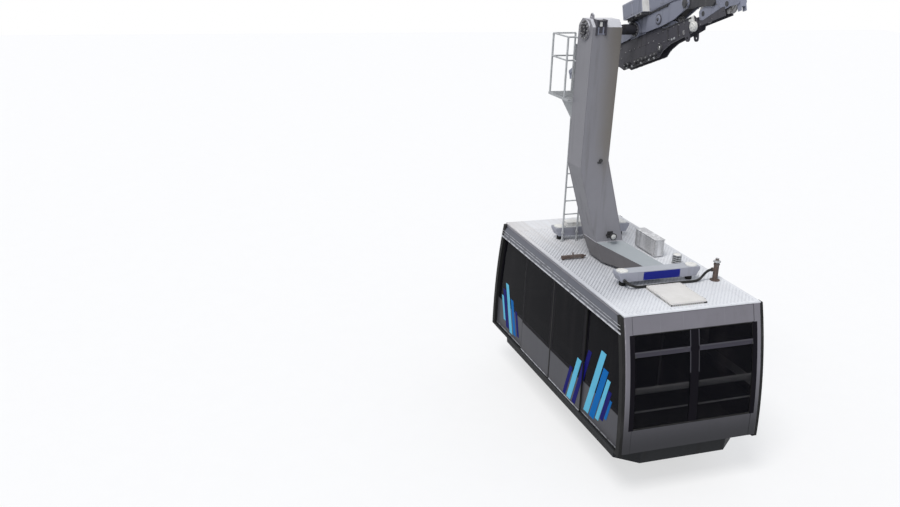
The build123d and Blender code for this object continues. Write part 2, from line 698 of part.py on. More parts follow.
def wheel_rocker(outward):
    """Two plates that straddle a pair of wheels, tied by a block, with a rope shoe at an outer end."""
    face = ROCKER_Y + ROCKER_T
    pieces = [box(-95, 95, -ROCKER_Y, ROCKER_Y, WHEEL_N - 30, ROCKER_N + 40)]
    shoe_s = outward * (WHEEL_STEP + SHOE_REACH)
    for y in (-face, ROCKER_Y):
        corners = [(-WHEEL_STEP, WHEEL_N, 60), (WHEEL_STEP, WHEEL_N, 60), (0, ROCKER_N, 52)]
        pieces.append(link(corners, y, y + ROCKER_T))
        if outward:
            pieces.append(link([(outward * WHEEL_STEP, WHEEL_N, 45), (shoe_s, 108, 36)], y, y + ROCKER_T))
    if outward:
        pieces.append(box(shoe_s - SHOE_HALF, shoe_s + SHOE_HALF, -ROCKER_Y, ROCKER_Y, -ROPE_R, 135))
    body = joined(pieces)
    body -= rod(0, ROCKER_N, -face - 1, face + 1, ROCKER_PIN_R + FIT)
    for s in (-WHEEL_STEP, WHEEL_STEP):
        body -= rod(s, WHEEL_N, -face - 1, face + 1, AXLE_R + FIT)
    if outward:
        reach, clear = SHOE_HALF + 1, ROPE_R + SHOE_CLEAR
        body -= box(shoe_s - reach, shoe_s + reach, -clear, clear, -ROPE_R - 1, ROPE_R + 10)
    return body


def wheel_rockers():
    """The four two-wheel rockers."""
    return [Pos(s, 0, 0) * wheel_rocker(end) for s, end in zip(ROCKER_S, (-1, 0, 0, 1))]


def bogie_rocker():
    """A rocker that joins two wheel rockers, tied at its middle."""
    face = BOGIE_Y + BOGIE_T
    pieces = [box(-90, 90, -BOGIE_Y, BOGIE_Y, BOGIE_N - 65, BOGIE_N + 45)]
    for y in (-face, BOGIE_Y):
        for s in (-ROCKER_STEP, ROCKER_STEP):
            pieces.append(link([(s, ROCKER_N, 50), (0, BOGIE_N, 60)], y, y + BOGIE_T))
    body = joined(pieces)
    body -= rod(0, BOGIE_N, -face - 1, face + 1, BOGIE_PIN_R + FIT)
    for s in (-ROCKER_STEP, ROCKER_STEP):
        body -= rod(s, ROCKER_N, -face - 1, face + 1, ROCKER_PIN_R + FIT)
    return body


def bogie_rockers():
    """The two rockers that each carry four wheels."""
    return [Pos(s, 0, 0) * bogie_rocker() for s in (-BOGIE_S, BOGIE_S)]


def axles_and_pins():
    """The wheel axles, the rocker pins and the bogie pins, each through its own plates."""
    short = ROCKER_Y + ROCKER_T + 3
    middle = BOGIE_Y + BOGIE_T + 5
    wide = MAIN_Y + MAIN_T + 12
    out = [rod(s, WHEEL_N, -short, short, AXLE_R) for s in WHEEL_S]
    out += [rod(s, ROCKER_N, -middle, middle, ROCKER_PIN_R) for s in ROCKER_S]
    return out + [rod(s, BOGIE_N, -wide, wide, BOGIE_PIN_R) for s in (-BOGIE_S, BOGIE_S)]


def main_rocker():
    """The main beam: two side plates, a cover between them and the main pin's bearing block."""
    face = MAIN_Y + MAIN_T
    outline = [(s, n) for s, n in MAIN_HALF] + [(-s, n) for s, n in reversed(MAIN_HALF)]
    reach = BOGIE_S - 280
    pieces = [box(-reach, reach, -MAIN_Y, MAIN_Y, COVER_N - 15, COVER_N),
              box(-BEARING_S, BEARING_S, -MAIN_Y, MAIN_Y, BEARING_LOW_N, COVER_N - 15)]
    for y in (-face, MAIN_Y):
        pieces.append(plate(outline, y, y + MAIN_T))
        pieces.append(rod(0, PIN_N, y, y + MAIN_T, BEARING_R))
        pieces += [rod(s, BOGIE_N, y, y + MAIN_T, BOGIE_EYE_R) for s in (-BOGIE_S, BOGIE_S)]
    body = joined(pieces) - rod(0, PIN_N, -face - 1, face + 1, PIN_R + RUNNING)
    for s in (-BOGIE_S, BOGIE_S):
        body -= rod(s, BOGIE_N, -face - 1, face + 1, BOGIE_PIN_R + FIT)
    return body


def rope_brake():
    """The track rope brake: a block over the rope with a jaw down each side of it."""
    block = box(-BRAKE_S, BRAKE_S, -PANEL_Y, PANEL_Y, BRAKE_LOW_N, BEARING_LOW_N)
    return block - box(-BRAKE_S - 1, BRAKE_S + 1, -ROPE_R - 8, ROPE_R + 8, BRAKE_LOW_N - 1, ROPE_R + 20)


def lower_panels():
    """The dark side plates below the main beam, with the haul rope's lugs at both ends."""
    outline = PANEL_HALF + [(-s, n) for s, n in reversed(PANEL_HALF)]
    pieces = [plate(outline, PANEL_Y, PANEL_Y + PANEL_T)]
    for s in (-HAUL_S, HAUL_S):
        pieces.append(link([(s, HAUL_N, EAR_R), (s, -40, 70)], PANEL_Y, PANEL_Y + PANEL_T + EAR_T))
    panel = joined(pieces)
    for s in (-HAUL_S, HAUL_S):
        panel -= rod(s, HAUL_N, PANEL_Y - 1, PANEL_Y + PANEL_T + EAR_T + 1, HAUL_BORE_R)
    return both_sides([panel])


def rope_sensor():
    """The round sensor on the side plate beside the rope."""
    y = -PANEL_Y - PANEL_T
    return rod(SENSOR_S, 0, y - 45, y, SENSOR_R)


def brake_power_unit():
    """The housing of the brake's power unit on top of the main beam."""
    body = box(*HOUSING_S, -HOUSING_Y, HOUSING_Y, HOUSING_N, HOUSING_N + HOUSING_H)
    body = fillet(body.edges().filter_by(Axis.Y), 20)
    inside = MAIN_Y - FIT
    return body + box(HOUSING_S[0] + SEAT_IN, HOUSING_S[1] - SEAT_IN, -inside, inside, COVER_N, HOUSING_N)


def top_cover():
    """The long box on the main beam in front of the power unit."""
    start = HOUSING_S[1] + 1
    face = MAIN_Y + MAIN_T
    body = box(start, COVER_END_S, -face, face, HOUSING_N, HOUSING_N + COVER_H)
    body = fillet(body.edges().filter_by(Axis.Y), 20)
    inside = MAIN_Y - FIT
    return body + box(start + SEAT_IN, COVER_END_S - SEAT_IN, -inside, inside, COVER_N, HOUSING_N)


# Roof equipment
def equipment_box():
    """The upright cabinet on the roof beside the mast's foot."""
    body = box(*CABINET_X, *CABINET_Y, *CABINET_Z)
    body = fillet(body.edges().filter_by(Axis.Z), 8)
    y0, y1 = CABINET_Y[0] + CABINET_FOOT_IN / 2, CABINET_Y[1] - CABINET_FOOT_IN / 2
    starts = (CABINET_X[0] + CABINET_FOOT_IN, CABINET_X[1] - CABINET_FOOT_IN - CABINET_FOOT)
    return joined([body] + [box(x, x + CABINET_FOOT, y0, y1, 0, CABINET_Z[0]) for x in starts])


def roof_post():
    """The short capped pipe near the roof's edge, with the socket that the hose ends in."""
    x, y = PIPE_X, HALF_W - PIPE_EDGE
    cap = PIPE_H + CAP_H
    pieces = [post(x, y, 0, FLANGE_T, PIPE_R + 40), post(x, y, FLANGE_T, PIPE_H, PIPE_R)]
    pieces += [post(x, y, PIPE_H, cap, PIPE_R + 18), post(x, y, cap, cap + VALVE_H, PIPE_R - 15)]
    return joined(pieces + [rod(x, SOCKET_Z, y - SOCKET_L, y, SOCKET_R)])


def bend_radii(places):
    """The largest arc that each corner of a route has room for."""
    spots = [Vector(*place) for place in places]
    runs = [b - a for a, b in zip(spots, spots[1:])]
    pairs = zip(runs, runs[1:])
    return [0.45 * min(a.length, b.length) / tan(radians(a.get_angle(b)) / 2) for a, b in pairs]


def roof_hose():
    """The hose from the crossbar's end, over the roof and up to the pipe, on its real route."""
    path = FilletPolyline(*HOSE_PLACES, radius=bend_radii(HOSE_PLACES))
    return sweep(Plane(path @ 0, z_dir=path % 0) * Circle(HOSE_R), path)


def hook_bar():
    """The low bar on the roof near the side edge, on two feet, with its spigot."""
    low, high = HOOK_Z
    out = HOOK_EDGE - HALF_W
    near = out + HOOK_L
    half = HOOK_W / 2
    pieces = [box(HOOK_X - half, HOOK_X + half, out, near, low, high)]
    pieces.append(rod(HOOK_X, (low + high) / 2, near, near + SPIGOT_L, SPIGOT_R))
    pieces.append(post(HOOK_X, out + HOOK_L / 2, high, high + 53, 12))
    for y in (out + HOOK_FOOT_IN, near - HOOK_FOOT_IN):
        pieces.append(box(HOOK_X - 20, HOOK_X + 20, y - 20, y + 20, 0, low))
    return joined(pieces)


def roof_sensor():
    """The ribbed drum on the roof between mast and post."""
    x, y = DRUM_PLACE
    pieces = [post(x, y, 0, FLANGE_T, DRUM_RING_R + 10), post(x, y, FLANGE_T, DRUM_H, DRUM_R)]
    step = (DRUM_H - FLANGE_T) / DRUM_RINGS
    for k in range(DRUM_RINGS):
        high = FLANGE_T + (k + 1) * step
        pieces.append(post(x, y, high - DRUM_RING_T, high, DRUM_RING_R))
    return joined(pieces)


def foot_spotlight():
    """The lamp at the foot of the mast."""
    x = MAST_DEPTH / 2
    y, z = LAMP_PLACE
    return box(x, x + 60, y - 20, y + 20, z - 15, z + 15) + bar_x(x + 60, x + 150, y, z, 62)


def lower(shape):
    """Heights counted from the roof's edge become heights from the rope."""
    return Pos(0, 0, -ROOF_DROP) * shape


def slope(shape):
    """A piece drawn along the rope is turned to the rope's slope."""
    return Rot(0, -ROPE_SLOPE, 0) * Pos(CARRIAGE_SHIFT, 0, 0) * shape


def write(name, made, place):
    """Writes one node, of one or several solids that don't touch."""
    solids = [place(one) for one in (made if isinstance(made, list) else [made])]
    export_step(solids[0] if len(solids) == 1 else Compound(children=solids), f"parts/{name}.step")


CABIN_NODES = {
    "roof": roof, "hatch_coaming": hatch_coaming, "hatch_lid": hatch_lid, "corner_posts": corner_posts,
    "end_panels": end_panels, "end_mullions": end_mullions, "end_glass": end_glass,
    "side_panels": side_panels, "side_glass": side_glass, "edge_strips": edge_strips,
    "door_rails": door_rails, "door_sills": door_sills, "floor": floor, "underframe": underframe,
    "leaning_pads": leaning_pads, "handrails": handrails, "hanger_mast": mast, "main_pin": main_pin,
    "hanger_foot": foot, "crossbars": crossbars, "roof_buffers": roof_buffers, "buffer_caps": buffer_caps,
    "crossbar_box": crossbar_box, "access_ladder": access_ladder, "service_platform": service_platform,
    "equipment_box": equipment_box, "roof_post": roof_post, "roof_hose": roof_hose, "hook_bar": hook_bar,
    "roof_sensor": roof_sensor, "foot_spotlight": foot_spotlight,
}
CARRIAGE_NODES = {
    "wheel_rockers": wheel_rockers, "bogie_rockers": bogie_rockers, "axles_and_pins": axles_and_pins,
    "main_rocker": main_rocker, "rope_brake": rope_brake, "lower_panels": lower_panels,
    "rope_sensor": rope_sensor, "brake_power_unit": brake_power_unit, "top_cover": top_cover,
}


def main():
    os.makedirs("parts", exist_ok=True)
    print("hose bends, mm:", [round(r) for r in bend_radii(HOSE_PLACES)])
    for name, make in CABIN_NODES.items():
        write(name, make(), lower)
    for name, make in (("door_leaf", door_leaf), ("door_glass", door_glass)):
        one = make()
        write(name + "_left_uphill", one, lower)
        write(name + "_left_downhill", flip_x(one), lower)
        write(name + "_right_uphill", flip_y(one), lower)
        write(name + "_right_downhill", flip_x(flip_y(one)), lower)
    for name, make in CARRIAGE_NODES.items():
        write(name, make(), slope)
    sheave = track_wheel()
    for k, s in enumerate(WHEEL_S):
        write(f"track_wheel_{k + 1}", Pos(s, 0, WHEEL_N) * sheave, slope)


main()
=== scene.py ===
import math

import bmesh
import bpy
from bpy.props import FloatProperty, FloatVectorProperty, PointerProperty
from mathutils import Matrix, Vector


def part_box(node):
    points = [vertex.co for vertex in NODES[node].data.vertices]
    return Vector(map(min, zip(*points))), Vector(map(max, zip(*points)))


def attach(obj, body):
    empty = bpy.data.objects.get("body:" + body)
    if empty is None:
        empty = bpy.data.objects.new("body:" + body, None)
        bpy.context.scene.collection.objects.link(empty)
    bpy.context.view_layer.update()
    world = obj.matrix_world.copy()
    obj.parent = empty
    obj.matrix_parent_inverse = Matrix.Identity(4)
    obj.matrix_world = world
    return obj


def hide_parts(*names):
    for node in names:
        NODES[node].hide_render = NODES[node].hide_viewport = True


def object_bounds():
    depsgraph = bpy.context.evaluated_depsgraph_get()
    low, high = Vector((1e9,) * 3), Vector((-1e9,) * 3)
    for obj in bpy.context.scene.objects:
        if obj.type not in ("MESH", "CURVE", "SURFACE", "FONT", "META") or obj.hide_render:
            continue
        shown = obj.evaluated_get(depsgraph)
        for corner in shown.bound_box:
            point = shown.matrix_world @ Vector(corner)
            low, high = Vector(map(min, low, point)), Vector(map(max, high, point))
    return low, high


bl_info = {
    "name": "Cable car cabin",
    "version": (1, 0, 0),
    "blender": (4, 5, 0),
    "location": "3D View > Sidebar > Cable car",
    "description": "Finishes and small parts of a cable car cabin, its hanger and its carriage",
    "category": "Object",
}

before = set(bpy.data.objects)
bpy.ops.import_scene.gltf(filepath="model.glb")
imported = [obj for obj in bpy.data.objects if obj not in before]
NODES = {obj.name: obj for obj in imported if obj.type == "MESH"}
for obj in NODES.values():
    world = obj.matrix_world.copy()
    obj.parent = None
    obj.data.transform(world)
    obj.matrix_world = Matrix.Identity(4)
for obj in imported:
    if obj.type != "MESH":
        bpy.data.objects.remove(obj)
CAD_BOX = [list(corner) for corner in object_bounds()]

# Heights on the cabin are counted from the roof's edge, in metres
ROOF_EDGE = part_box("roof")[1].z
BAND = -0.300  # underside of the cant rails
HEADER = -0.310  # top of the end windows
TRANSOM = -0.590  # foot of their top lights
BOARD_HIGH = -1.308  # top of the guard boards behind the side glass
BOARD_LOW = -1.462
BELT = -1.675  # foot of the side windows
SILL = -1.860  # foot of the end windows
FOOT = -2.262  # foot of the walls and door leaves

# Outer faces of the sides, and the width of one door leaf
WALL_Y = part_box("side_panels")[1].y
LEAF_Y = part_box("door_leaf_left_uphill")[1].y
RAIL_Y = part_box("door_rails")[1].y
LEAF_W = 1.300

# The curved ends: radius, reach, the height where they reach furthest, and half the windows' width
END_R = 7.260
END_REACH = 2.800
END_FOOT = -2.240
END_INNER_Y = 1.110

# The hollow mast: half its size along the cabin, and its near and far corner lines as Y and height
MAST_HALF = 0.250
MAST_NEAR = ((-1.050, 4.10), (-1.070, 1.77), (-0.650, 0.42))
MAST_FAR = ((-0.520, 4.10), (-0.560, 1.90), (-0.140, 0.42))

# The carriage is drawn level, with S along it and N square to that, then turned to its slope. Its pins: the
# main one at S 0, the wheels', rockers' and bogies' pins, and the one under the cover, as S and N
SLOPE = math.radians(19.0)
PIN_N = 0.320
RISE = Matrix.Rotation(-SLOPE, 4, "Y") @ Matrix.Translation((PIN_N * math.tan(SLOPE), 0, 0))
WHEEL_N = 0.140
ROCKER_N = 0.235
BOGIE_N = 0.385
ROCKER_S = (-2.180, -0.820, 0.820, 2.180)
BOGIE_S = (-1.500, 1.500)
WHEEL_S = [s + side * 0.300 for s in ROCKER_S for side in (-1, 1)]
COVER_PIN = (0.715, 0.324)

# Each door leaf's end of the cabin and its side
LEAVES = {
    "left_uphill": (1, 1), "left_downhill": (-1, 1), "right_uphill": (1, -1), "right_downhill": (-1, -1),
}


class CableCarSettings(bpy.types.PropertyGroup):
    """Sizes and colours that a user may change."""

    stud_step: FloatVectorProperty(
        name="Tread stud step", description="Distance between studs along the cabin and across it",
        default=(0.090, 0.034), min=0.02, size=2, unit="LENGTH")
    stud_size: FloatVectorProperty(
        name="Tread stud", description="Length, width and height of one stud of the roof's tread sheet",
        default=(0.064, 0.019, 0.0032), min=0.0005, size=3, unit="LENGTH")
    bolt_size: FloatProperty(
        name="Bolt head", description="Size of the rockers' bolt heads, which the carriage's other bolts follow",
        default=0.020, min=0.001, unit="LENGTH")
    light_blue: FloatVectorProperty(
        name="Light blue", description="Lightest colour of the side stripes", subtype="COLOR",
        default=(0.15, 0.56, 0.79), size=3)
    mid_blue: FloatVectorProperty(
        name="Mid blue", description="Middle colour of the side stripes", subtype="COLOR",
        default=(0.004, 0.15, 0.48), size=3)
    navy: FloatVectorProperty(
        name="Navy", description="Darkest colour of the side stripes", subtype="COLOR",
        default=(0.007, 0.007, 0.145), size=3)
    silver: FloatVectorProperty(
        name="Cabin silver", description="Paint of posts, headers and panels", subtype="COLOR",
        default=(0.196, 0.188, 0.212), size=3)
    key_strength: FloatProperty(
        name="Key light", description="Strength of the soft light from above", default=2.1, min=0)


# Shader values written as sums
class Value:
    """One shader socket that can be added, scaled, compared and spread out."""

    def __init__(self, finish, socket):
        self.finish = finish
        self.socket = socket

    def _maths(self, operation, first, second):
        return self.finish.node("ShaderNodeMath", {"operation": operation}, {0: first, 1: second})

    def __add__(self, other):
        return self._maths("ADD", self, other)

    def __radd__(self, other):
        return self._maths("ADD", other, self)

    def __sub__(self, other):
        return self._maths("SUBTRACT", self, other)

    def __rsub__(self, other):
        return self._maths("SUBTRACT", other, self)

    def __mul__(self, other):
        return self._maths("MULTIPLY", self, other)

    def __rmul__(self, other):
        return self._maths("MULTIPLY", other, self)

    def __gt__(self, other):
        return self._maths("GREATER_THAN", self, other)

    def __lt__(self, other):
        return self._maths("LESS_THAN", self, other)

    def most(self, other):
        return self._maths("MAXIMUM", self, other)

    def modulo(self, other):
        return self._maths("FLOORED_MODULO", self, other)

    def size(self):
        return self._maths("ABSOLUTE", self, 0.0)

    def ramp(self, low, high):
        """0 below low, 1 above high, smooth between."""
        return self.finish.node("ShaderNodeMapRange", {"interpolation_type": "SMOOTHSTEP"}, {
            "Value": self, "From Min": low, "From Max": high})


class Finish:
    """One material's nodes round a Principled shader."""

    def __init__(self, name):
        self.material = bpy.data.materials.new(name)
        self.material.use_nodes = True
        self.tree = self.material.node_tree
        self.shader = self.tree.nodes["Principled BSDF"]
        self.place = None

    def node(self, kind, settings=None, inputs=None, output=0):
        """A node with its settings, then the values or links of its sockets."""
        made = self.tree.nodes.new(kind)
        for key, value in (settings or {}).items():
            setattr(made, key, value)
        for key, value in (inputs or {}).items():
            self.feed(made.inputs[key], value)
        return Value(self, made.outputs[output])

    def feed(self, socket, value):
        if isinstance(value, Value):
            self.tree.links.new(value.socket, socket)
        elif socket.type == "RGBA" and len(value) == 3:
            socket.default_value = (*value, 1)
        else:
            socket.default_value = value

    def coordinates(self):
        if self.place is None:
            self.place = self.node("ShaderNodeTexCoord", output="Object")
        return self.place

    def axis(self, name):
        return self.node("ShaderNodeSeparateXYZ", inputs={0: self.coordinates()}, output=name)

    def noise(self, scale, stretch=(1, 1, 1), detail=3.0, roughness=0.5):
        place = self.node("ShaderNodeMapping", inputs={"Vector": self.coordinates(), "Scale": stretch})
        return self.node("ShaderNodeTexNoise", inputs={
            "Vector": place, "Scale": scale, "Detail": detail, "Roughness": roughness})

    def mix(self, factor, first, second):
        """One colour turning into another."""
        return self.node("ShaderNodeMix", {"data_type": "RGBA"}, {0: factor, 6: first, 7: second}, output=2)

    def mottle(self, factor, colour, low, high):
        """A colour that runs from darker to lighter."""
        return self.mix(factor, shade(colour, low), shade(colour, high))

    def bump(self, height, distance, strength):
        return self.node("ShaderNodeBump", inputs={"Height": height, "Distance": distance, "Strength": strength})

    def set(self, **sockets):
        """The shader's own sockets, by name."""
        for name, value in sockets.items():
            self.feed(self.shader.inputs[name.replace("_", " ")], value)


def shade(colour, factor):
    """A colour made darker or lighter."""
    return tuple(min(1.0, c * factor) for c in colour)


def painted(name, colour, rough, grime=0.25, streak=0.15, metal=0.0, dirt=(0.10, 0.09, 0.08), top=None,
            foot=None, cast=None, shine=0.5):
    """Sprayed paint with a slight mottle, fine orange peel, rain streaks and settled grime.

    Faces that look up take the colour top, a painted highlight of light from above, and foot is a height, a reach
    above it and how dark it gets there: painted shade, towards near-black below that height.
    cast is a Y where the colour begins to turn, a Y where it has, a height from which it does, and that colour: partly
    a brown streak, partly a painted warm reflection and shade.
    shine is the level of the paint's mirror gloss."""
    finish = Finish(name)
    cloud = finish.noise(1.7, detail=5.0, roughness=0.6)
    fine = finish.noise(160.0, detail=1.0)
    run = finish.noise(9.0, stretch=(1.0, 1.0, 0.07), detail=4.0, roughness=0.6)
    speck = finish.noise(38.0, detail=6.0, roughness=0.72)
    base = finish.mottle(cloud, colour, 0.88, 1.10)
    base = finish.mix(run.ramp(0.52, 0.72) * streak, base, dirt)
    base = finish.mix(speck.ramp(0.60, 0.72) * (cloud.ramp(0.40, 0.62) * grime), base, dirt)
    # Partly a brown streak, partly a painted warm reflection and shade: the colour turns darker and warmer across the
    # face above a height
    if cast:
        start, end, above, turned_to = cast
        part = (finish.axis("Y") + 0.16 * cloud - 0.08).ramp(start, end)
        part = part * (finish.axis("Z") + 0.5 * run).ramp(above, above + 0.9)
        base = finish.mix(part, base, finish.mottle(run, turned_to, 0.85, 1.15))
    # Painted highlight: faces that look up turn towards the lighter top colour, as if lit from above
    if top:
        normal = finish.node("ShaderNodeTexCoord", output="Normal")
        upward = finish.node("ShaderNodeSeparateXYZ", inputs={0: normal}, output="Z")
        base = finish.mix(upward.ramp(0.25, 0.60), base, finish.mottle(cloud, top, 0.88, 1.10))
    # Painted shade: below a height the paint darkens towards near-black, as lower faces take less light
    if foot:
        low, reach, dark = foot
        base = finish.mix((1.0 - finish.axis("Z").ramp(low, low + reach)) * dark, base, (0.03, 0.03, 0.034))
    finish.set(Base_Color=base, Roughness=rough + 0.16 * speck - 0.08 + 0.12 * run.ramp(0.5, 0.75))
    finish.set(Metallic=metal, Normal=finish.bump(fine + 0.6 * cloud, 0.0006, 0.35), Specular_IOR_Level=shine)
    return finish.material


def wall_paint(name, colour, dark, inner, board_face):
    """Side paint: satin below the belt, black behind the glass, and the guard board's face in its own colour.

    The guard board is what lies further in than board_face."""
    finish = Finish(name)
    height = finish.axis("Z")
    cloud = finish.noise(1.3, detail=5.0, roughness=0.6)
    run = finish.noise(8.0, stretch=(1.0, 1.0, 0.08), detail=4.0, roughness=0.6)
    fine = finish.noise(140.0, detail=1.0)
    above = height > (ROOF_EDGE + BELT - 0.001)
    board = (height > (ROOF_EDGE + BOARD_LOW)) * (height < (ROOF_EDGE + BOARD_HIGH))
    board = board * (finish.axis("Y").size() < board_face)
    splash = 1.0 - height.ramp(ROOF_EDGE + FOOT, ROOF_EDGE + FOOT + 0.30)
    paint = finish.mottle(cloud, colour, 0.90, 1.10)
    paint = finish.mix(run.ramp(0.50, 0.74) * 0.16, paint, (0.10, 0.10, 0.10))
    paint = finish.mix(splash * (cloud.ramp(0.35, 0.60) * 0.30), paint, (0.07, 0.065, 0.06))
    base = finish.mix(above, paint, dark)
    base = finish.mix(board, base, inner)
    finish.set(Base_Color=base, Roughness=0.38 + 0.14 * run, Normal=finish.bump(fine, 0.0004, 0.3))
    finish.set(Specular_IOR_Level=0.2)
    return finish.material


def roof_paint():
    """White roof paint, scuffed where it is walked on and grey with old grime."""
    finish = Finish("roof_white")
    cloud = finish.noise(0.9, detail=6.0, roughness=0.62)
    band = finish.noise(5.0, stretch=(0.06, 1.0, 1.0), detail=5.0, roughness=0.6)
    speck = finish.noise(26.0, detail=7.0, roughness=0.75)
    fine = finish.noise(90.0, detail=2.0)
    base = finish.mix(cloud, (0.56, 0.57, 0.60), (0.80, 0.81, 0.83))
    base = finish.mix(band.ramp(0.48, 0.70) * 0.30, base, (0.38, 0.38, 0.39))
    base = finish.mix(speck.ramp(0.55, 0.70) * 0.45, base, (0.27, 0.25, 0.22))
    far = 1.0 - (finish.axis("X") + 0.9 * cloud).ramp(-0.9, 0.9)
    base = finish.mix(far * band.ramp(0.30, 0.70) * 0.40, base, (0.56, 0.51, 0.47))
    base = finish.mix(trodden(finish, cloud) * 0.30, base, (0.30, 0.31, 0.35))
    finish.set(Base_Color=base, Roughness=0.45 + 0.25 * speck)
    finish.set(Normal=finish.bump(fine + cloud, 0.001, 0.3))
    return finish.material


def trodden(finish, cloud):
    """Where the roof's sheet is worn grey: from the ladder's side along the mast's foot to the hatch."""
    side = 1.0 - (finish.axis("Y") + 0.55 * cloud).ramp(-0.45, 0.35)
    return side * finish.axis("X").ramp(-1.7, -0.5) * (1.0 - finish.axis("X").ramp(1.3, 2.2))


def stud_paint():
    """Studs of the tread sheet: white, rubbed to grey where the roof is walked on."""
    finish = Finish("worn_studs")
    cloud = finish.noise(0.9, detail=6.0, roughness=0.62)
    speck = finish.noise(17.0, detail=5.0, roughness=0.7)
    base = finish.mix(speck, (0.38, 0.39, 0.42), (0.58, 0.59, 0.62))
    base = finish.mix(trodden(finish, cloud) * 0.9, base, (0.085, 0.090, 0.115))
    finish.set(Base_Color=base, Roughness=0.5 + 0.2 * speck, Normal=finish.bump(speck, 0.0004, 0.3))
    return finish.material


def dark_greasy_and_shade():
    """Near-black frame paint with grease, grey rubbed edges and drips; its near-black is partly painted shade,
    standing for the shade under the carriage.
    """
    finish = Finish("greasy_dark_and_shade")
    cloud = finish.noise(3.1, detail=6.0, roughness=0.65)
    speck = finish.noise(30.0, detail=7.0, roughness=0.75)
    drip = finish.noise(14.0, stretch=(1.0, 1.0, 0.15), detail=4.0)
    base = finish.mix(cloud, (0.018, 0.018, 0.020), (0.065, 0.065, 0.072))
    base = finish.mix(speck.ramp(0.56, 0.70) * 0.6, base, (0.11, 0.105, 0.10))
    base = finish.mix(drip.ramp(0.60, 0.75) * 0.7, base, (0.010, 0.009, 0.008))
    finish.set(Base_Color=base, Roughness=0.70 - 0.38 * drip.ramp(0.50, 0.75))
    finish.set(Normal=finish.bump(speck, 0.0012, 0.5))
    return finish.material


def galvanised(name, colour, streak=0.4):
    """Dip-coated steel with its crystal pattern, pale streaks and white rust."""
    finish = Finish(name)
    crystal = finish.node("ShaderNodeTexVoronoi", inputs={
        "Vector": finish.coordinates(), "Scale": 70.0}, output="Color")
    grey = finish.node("ShaderNodeSeparateColor", inputs={0: crystal})
    run = finish.noise(11.0, stretch=(1.0, 1.0, 0.10), detail=5.0, roughness=0.65)
    cloud = finish.noise(4.0, detail=5.0)
    base = finish.mottle(grey, colour, 0.82, 1.14)
    base = finish.mix(run.ramp(0.47, 0.66) * streak, base, shade(colour, 1.45))
    base = finish.mix(cloud.ramp(0.58, 0.75) * 0.4, base, shade(colour, 0.5))
    finish.set(Base_Color=base, Metallic=0.35, Roughness=0.46 + 0.20 * run)
    finish.set(Normal=finish.bump(cloud + 0.4 * grey, 0.0008, 0.35))
    return finish.material


def machined(name, colour, rough=0.34):
    """Turned or rolled steel with brushed lines and thin grease."""
    finish = Finish(name)
    line = finish.noise(180.0, stretch=(1.0, 0.12, 1.0), detail=2.0)
    cloud = finish.noise(7.0, detail=5.0, roughness=0.65)
    base = finish.mottle(line, colour, 0.80, 1.12)
    base = finish.mix(cloud.ramp(0.46, 0.66) * 0.75, base, (0.030, 0.027, 0.024))
    finish.set(Base_Color=base, Metallic=0.85, Roughness=rough + 0.22 * cloud)
    finish.set(Normal=finish.bump(line, 0.0004, 0.4))
    return finish.material


def rusty(name):
    """Brown scaled rust with rubbed dark steel showing through."""
    finish = Finish(name)
    scale = finish.noise(22.0, detail=8.0, roughness=0.75)
    cloud = finish.noise(6.0, detail=5.0)
    base = finish.mix(scale.ramp(0.35, 0.65), (0.050, 0.036, 0.032), (0.135, 0.095, 0.080))
    base = finish.mix(cloud.ramp(0.50, 0.66) * 0.6, base, (0.150, 0.135, 0.125))
    finish.set(Base_Color=base, Roughness=0.72 + 0.2 * scale, Normal=finish.bump(scale, 0.002, 0.6))
    return finish.material


def rubber(name, grey=0.016):
    """Weathered black rubber with a dusty bloom."""
    finish = Finish(name)
    dust = finish.noise(6.0, stretch=(1.0, 1.0, 0.3), detail=6.0, roughness=0.65)
    grain = finish.noise(260.0, detail=2.0)
    base = finish.mix(dust.ramp(0.45, 0.75) * 0.6, (grey, grey, grey), (grey * 3.2, grey * 3.1, grey * 3.0))
    finish.set(Base_Color=base, Roughness=0.55 + 0.25 * dust, Normal=finish.bump(grain, 0.0005, 0.4))
    finish.set(Specular_IOR_Level=0.15)
    return finish.material


def window_tint(name, alpha):
    """Dark tinted glass, faintly streaked outside."""
    finish = Finish(name)
    run = finish.noise(5.0, stretch=(1.0, 1.0, 0.12), detail=4.0)
    haze = finish.noise(1.6, detail=4.0)
    base = finish.mix(run.ramp(0.50, 0.75) * 0.5, (0.006, 0.006, 0.008), (0.018, 0.016, 0.018))
    # Daylight comes in through every pane, so the tint holds back less of it than of the view
    light = 1.0 - finish.node("ShaderNodeLightPath", output="Is Shadow Ray") * 0.75
    finish.set(Base_Color=base, Roughness=0.035 + 0.06 * run.ramp(0.5, 0.8), Alpha=(alpha + 0.10 * haze) * light)
    finish.set(IOR=1.5, Specular_IOR_Level=0.015)
    finish.set(Normal=finish.bump(haze, 0.0015, 0.10))
    return finish.material


def printed_black():
    """Black printed border of the panes, as glossy as the glass."""
    finish = Finish("printed_black")
    run = finish.noise(5.0, stretch=(1.0, 1.0, 0.12), detail=4.0)
    base = finish.mix(run.ramp(0.50, 0.75) * 0.5, (0.010, 0.009, 0.012), (0.022, 0.020, 0.022))
    finish.set(Base_Color=base, Roughness=0.05 + 0.08 * run, IOR=1.5, Specular_IOR_Level=0.015)
    return finish.material


def film(name, colour):
    """Self-adhesive coloured film, satin, faded and scuffed a little."""
    finish = Finish(name)
    cloud = finish.noise(2.3, detail=5.0)
    run = finish.noise(12.0, stretch=(1.0, 1.0, 0.10), detail=4.0)
    base = finish.mottle(cloud, colour, 0.90, 1.10)
    base = finish.mix(run.ramp(0.55, 0.78) * 0.12, base, (0.10, 0.10, 0.10))
    finish.set(Base_Color=base, Roughness=0.44 + 0.15 * run, Specular_IOR_Level=0.05)
    finish.set(Normal=finish.bump(cloud, 0.0005, 0.2))
    return finish.material


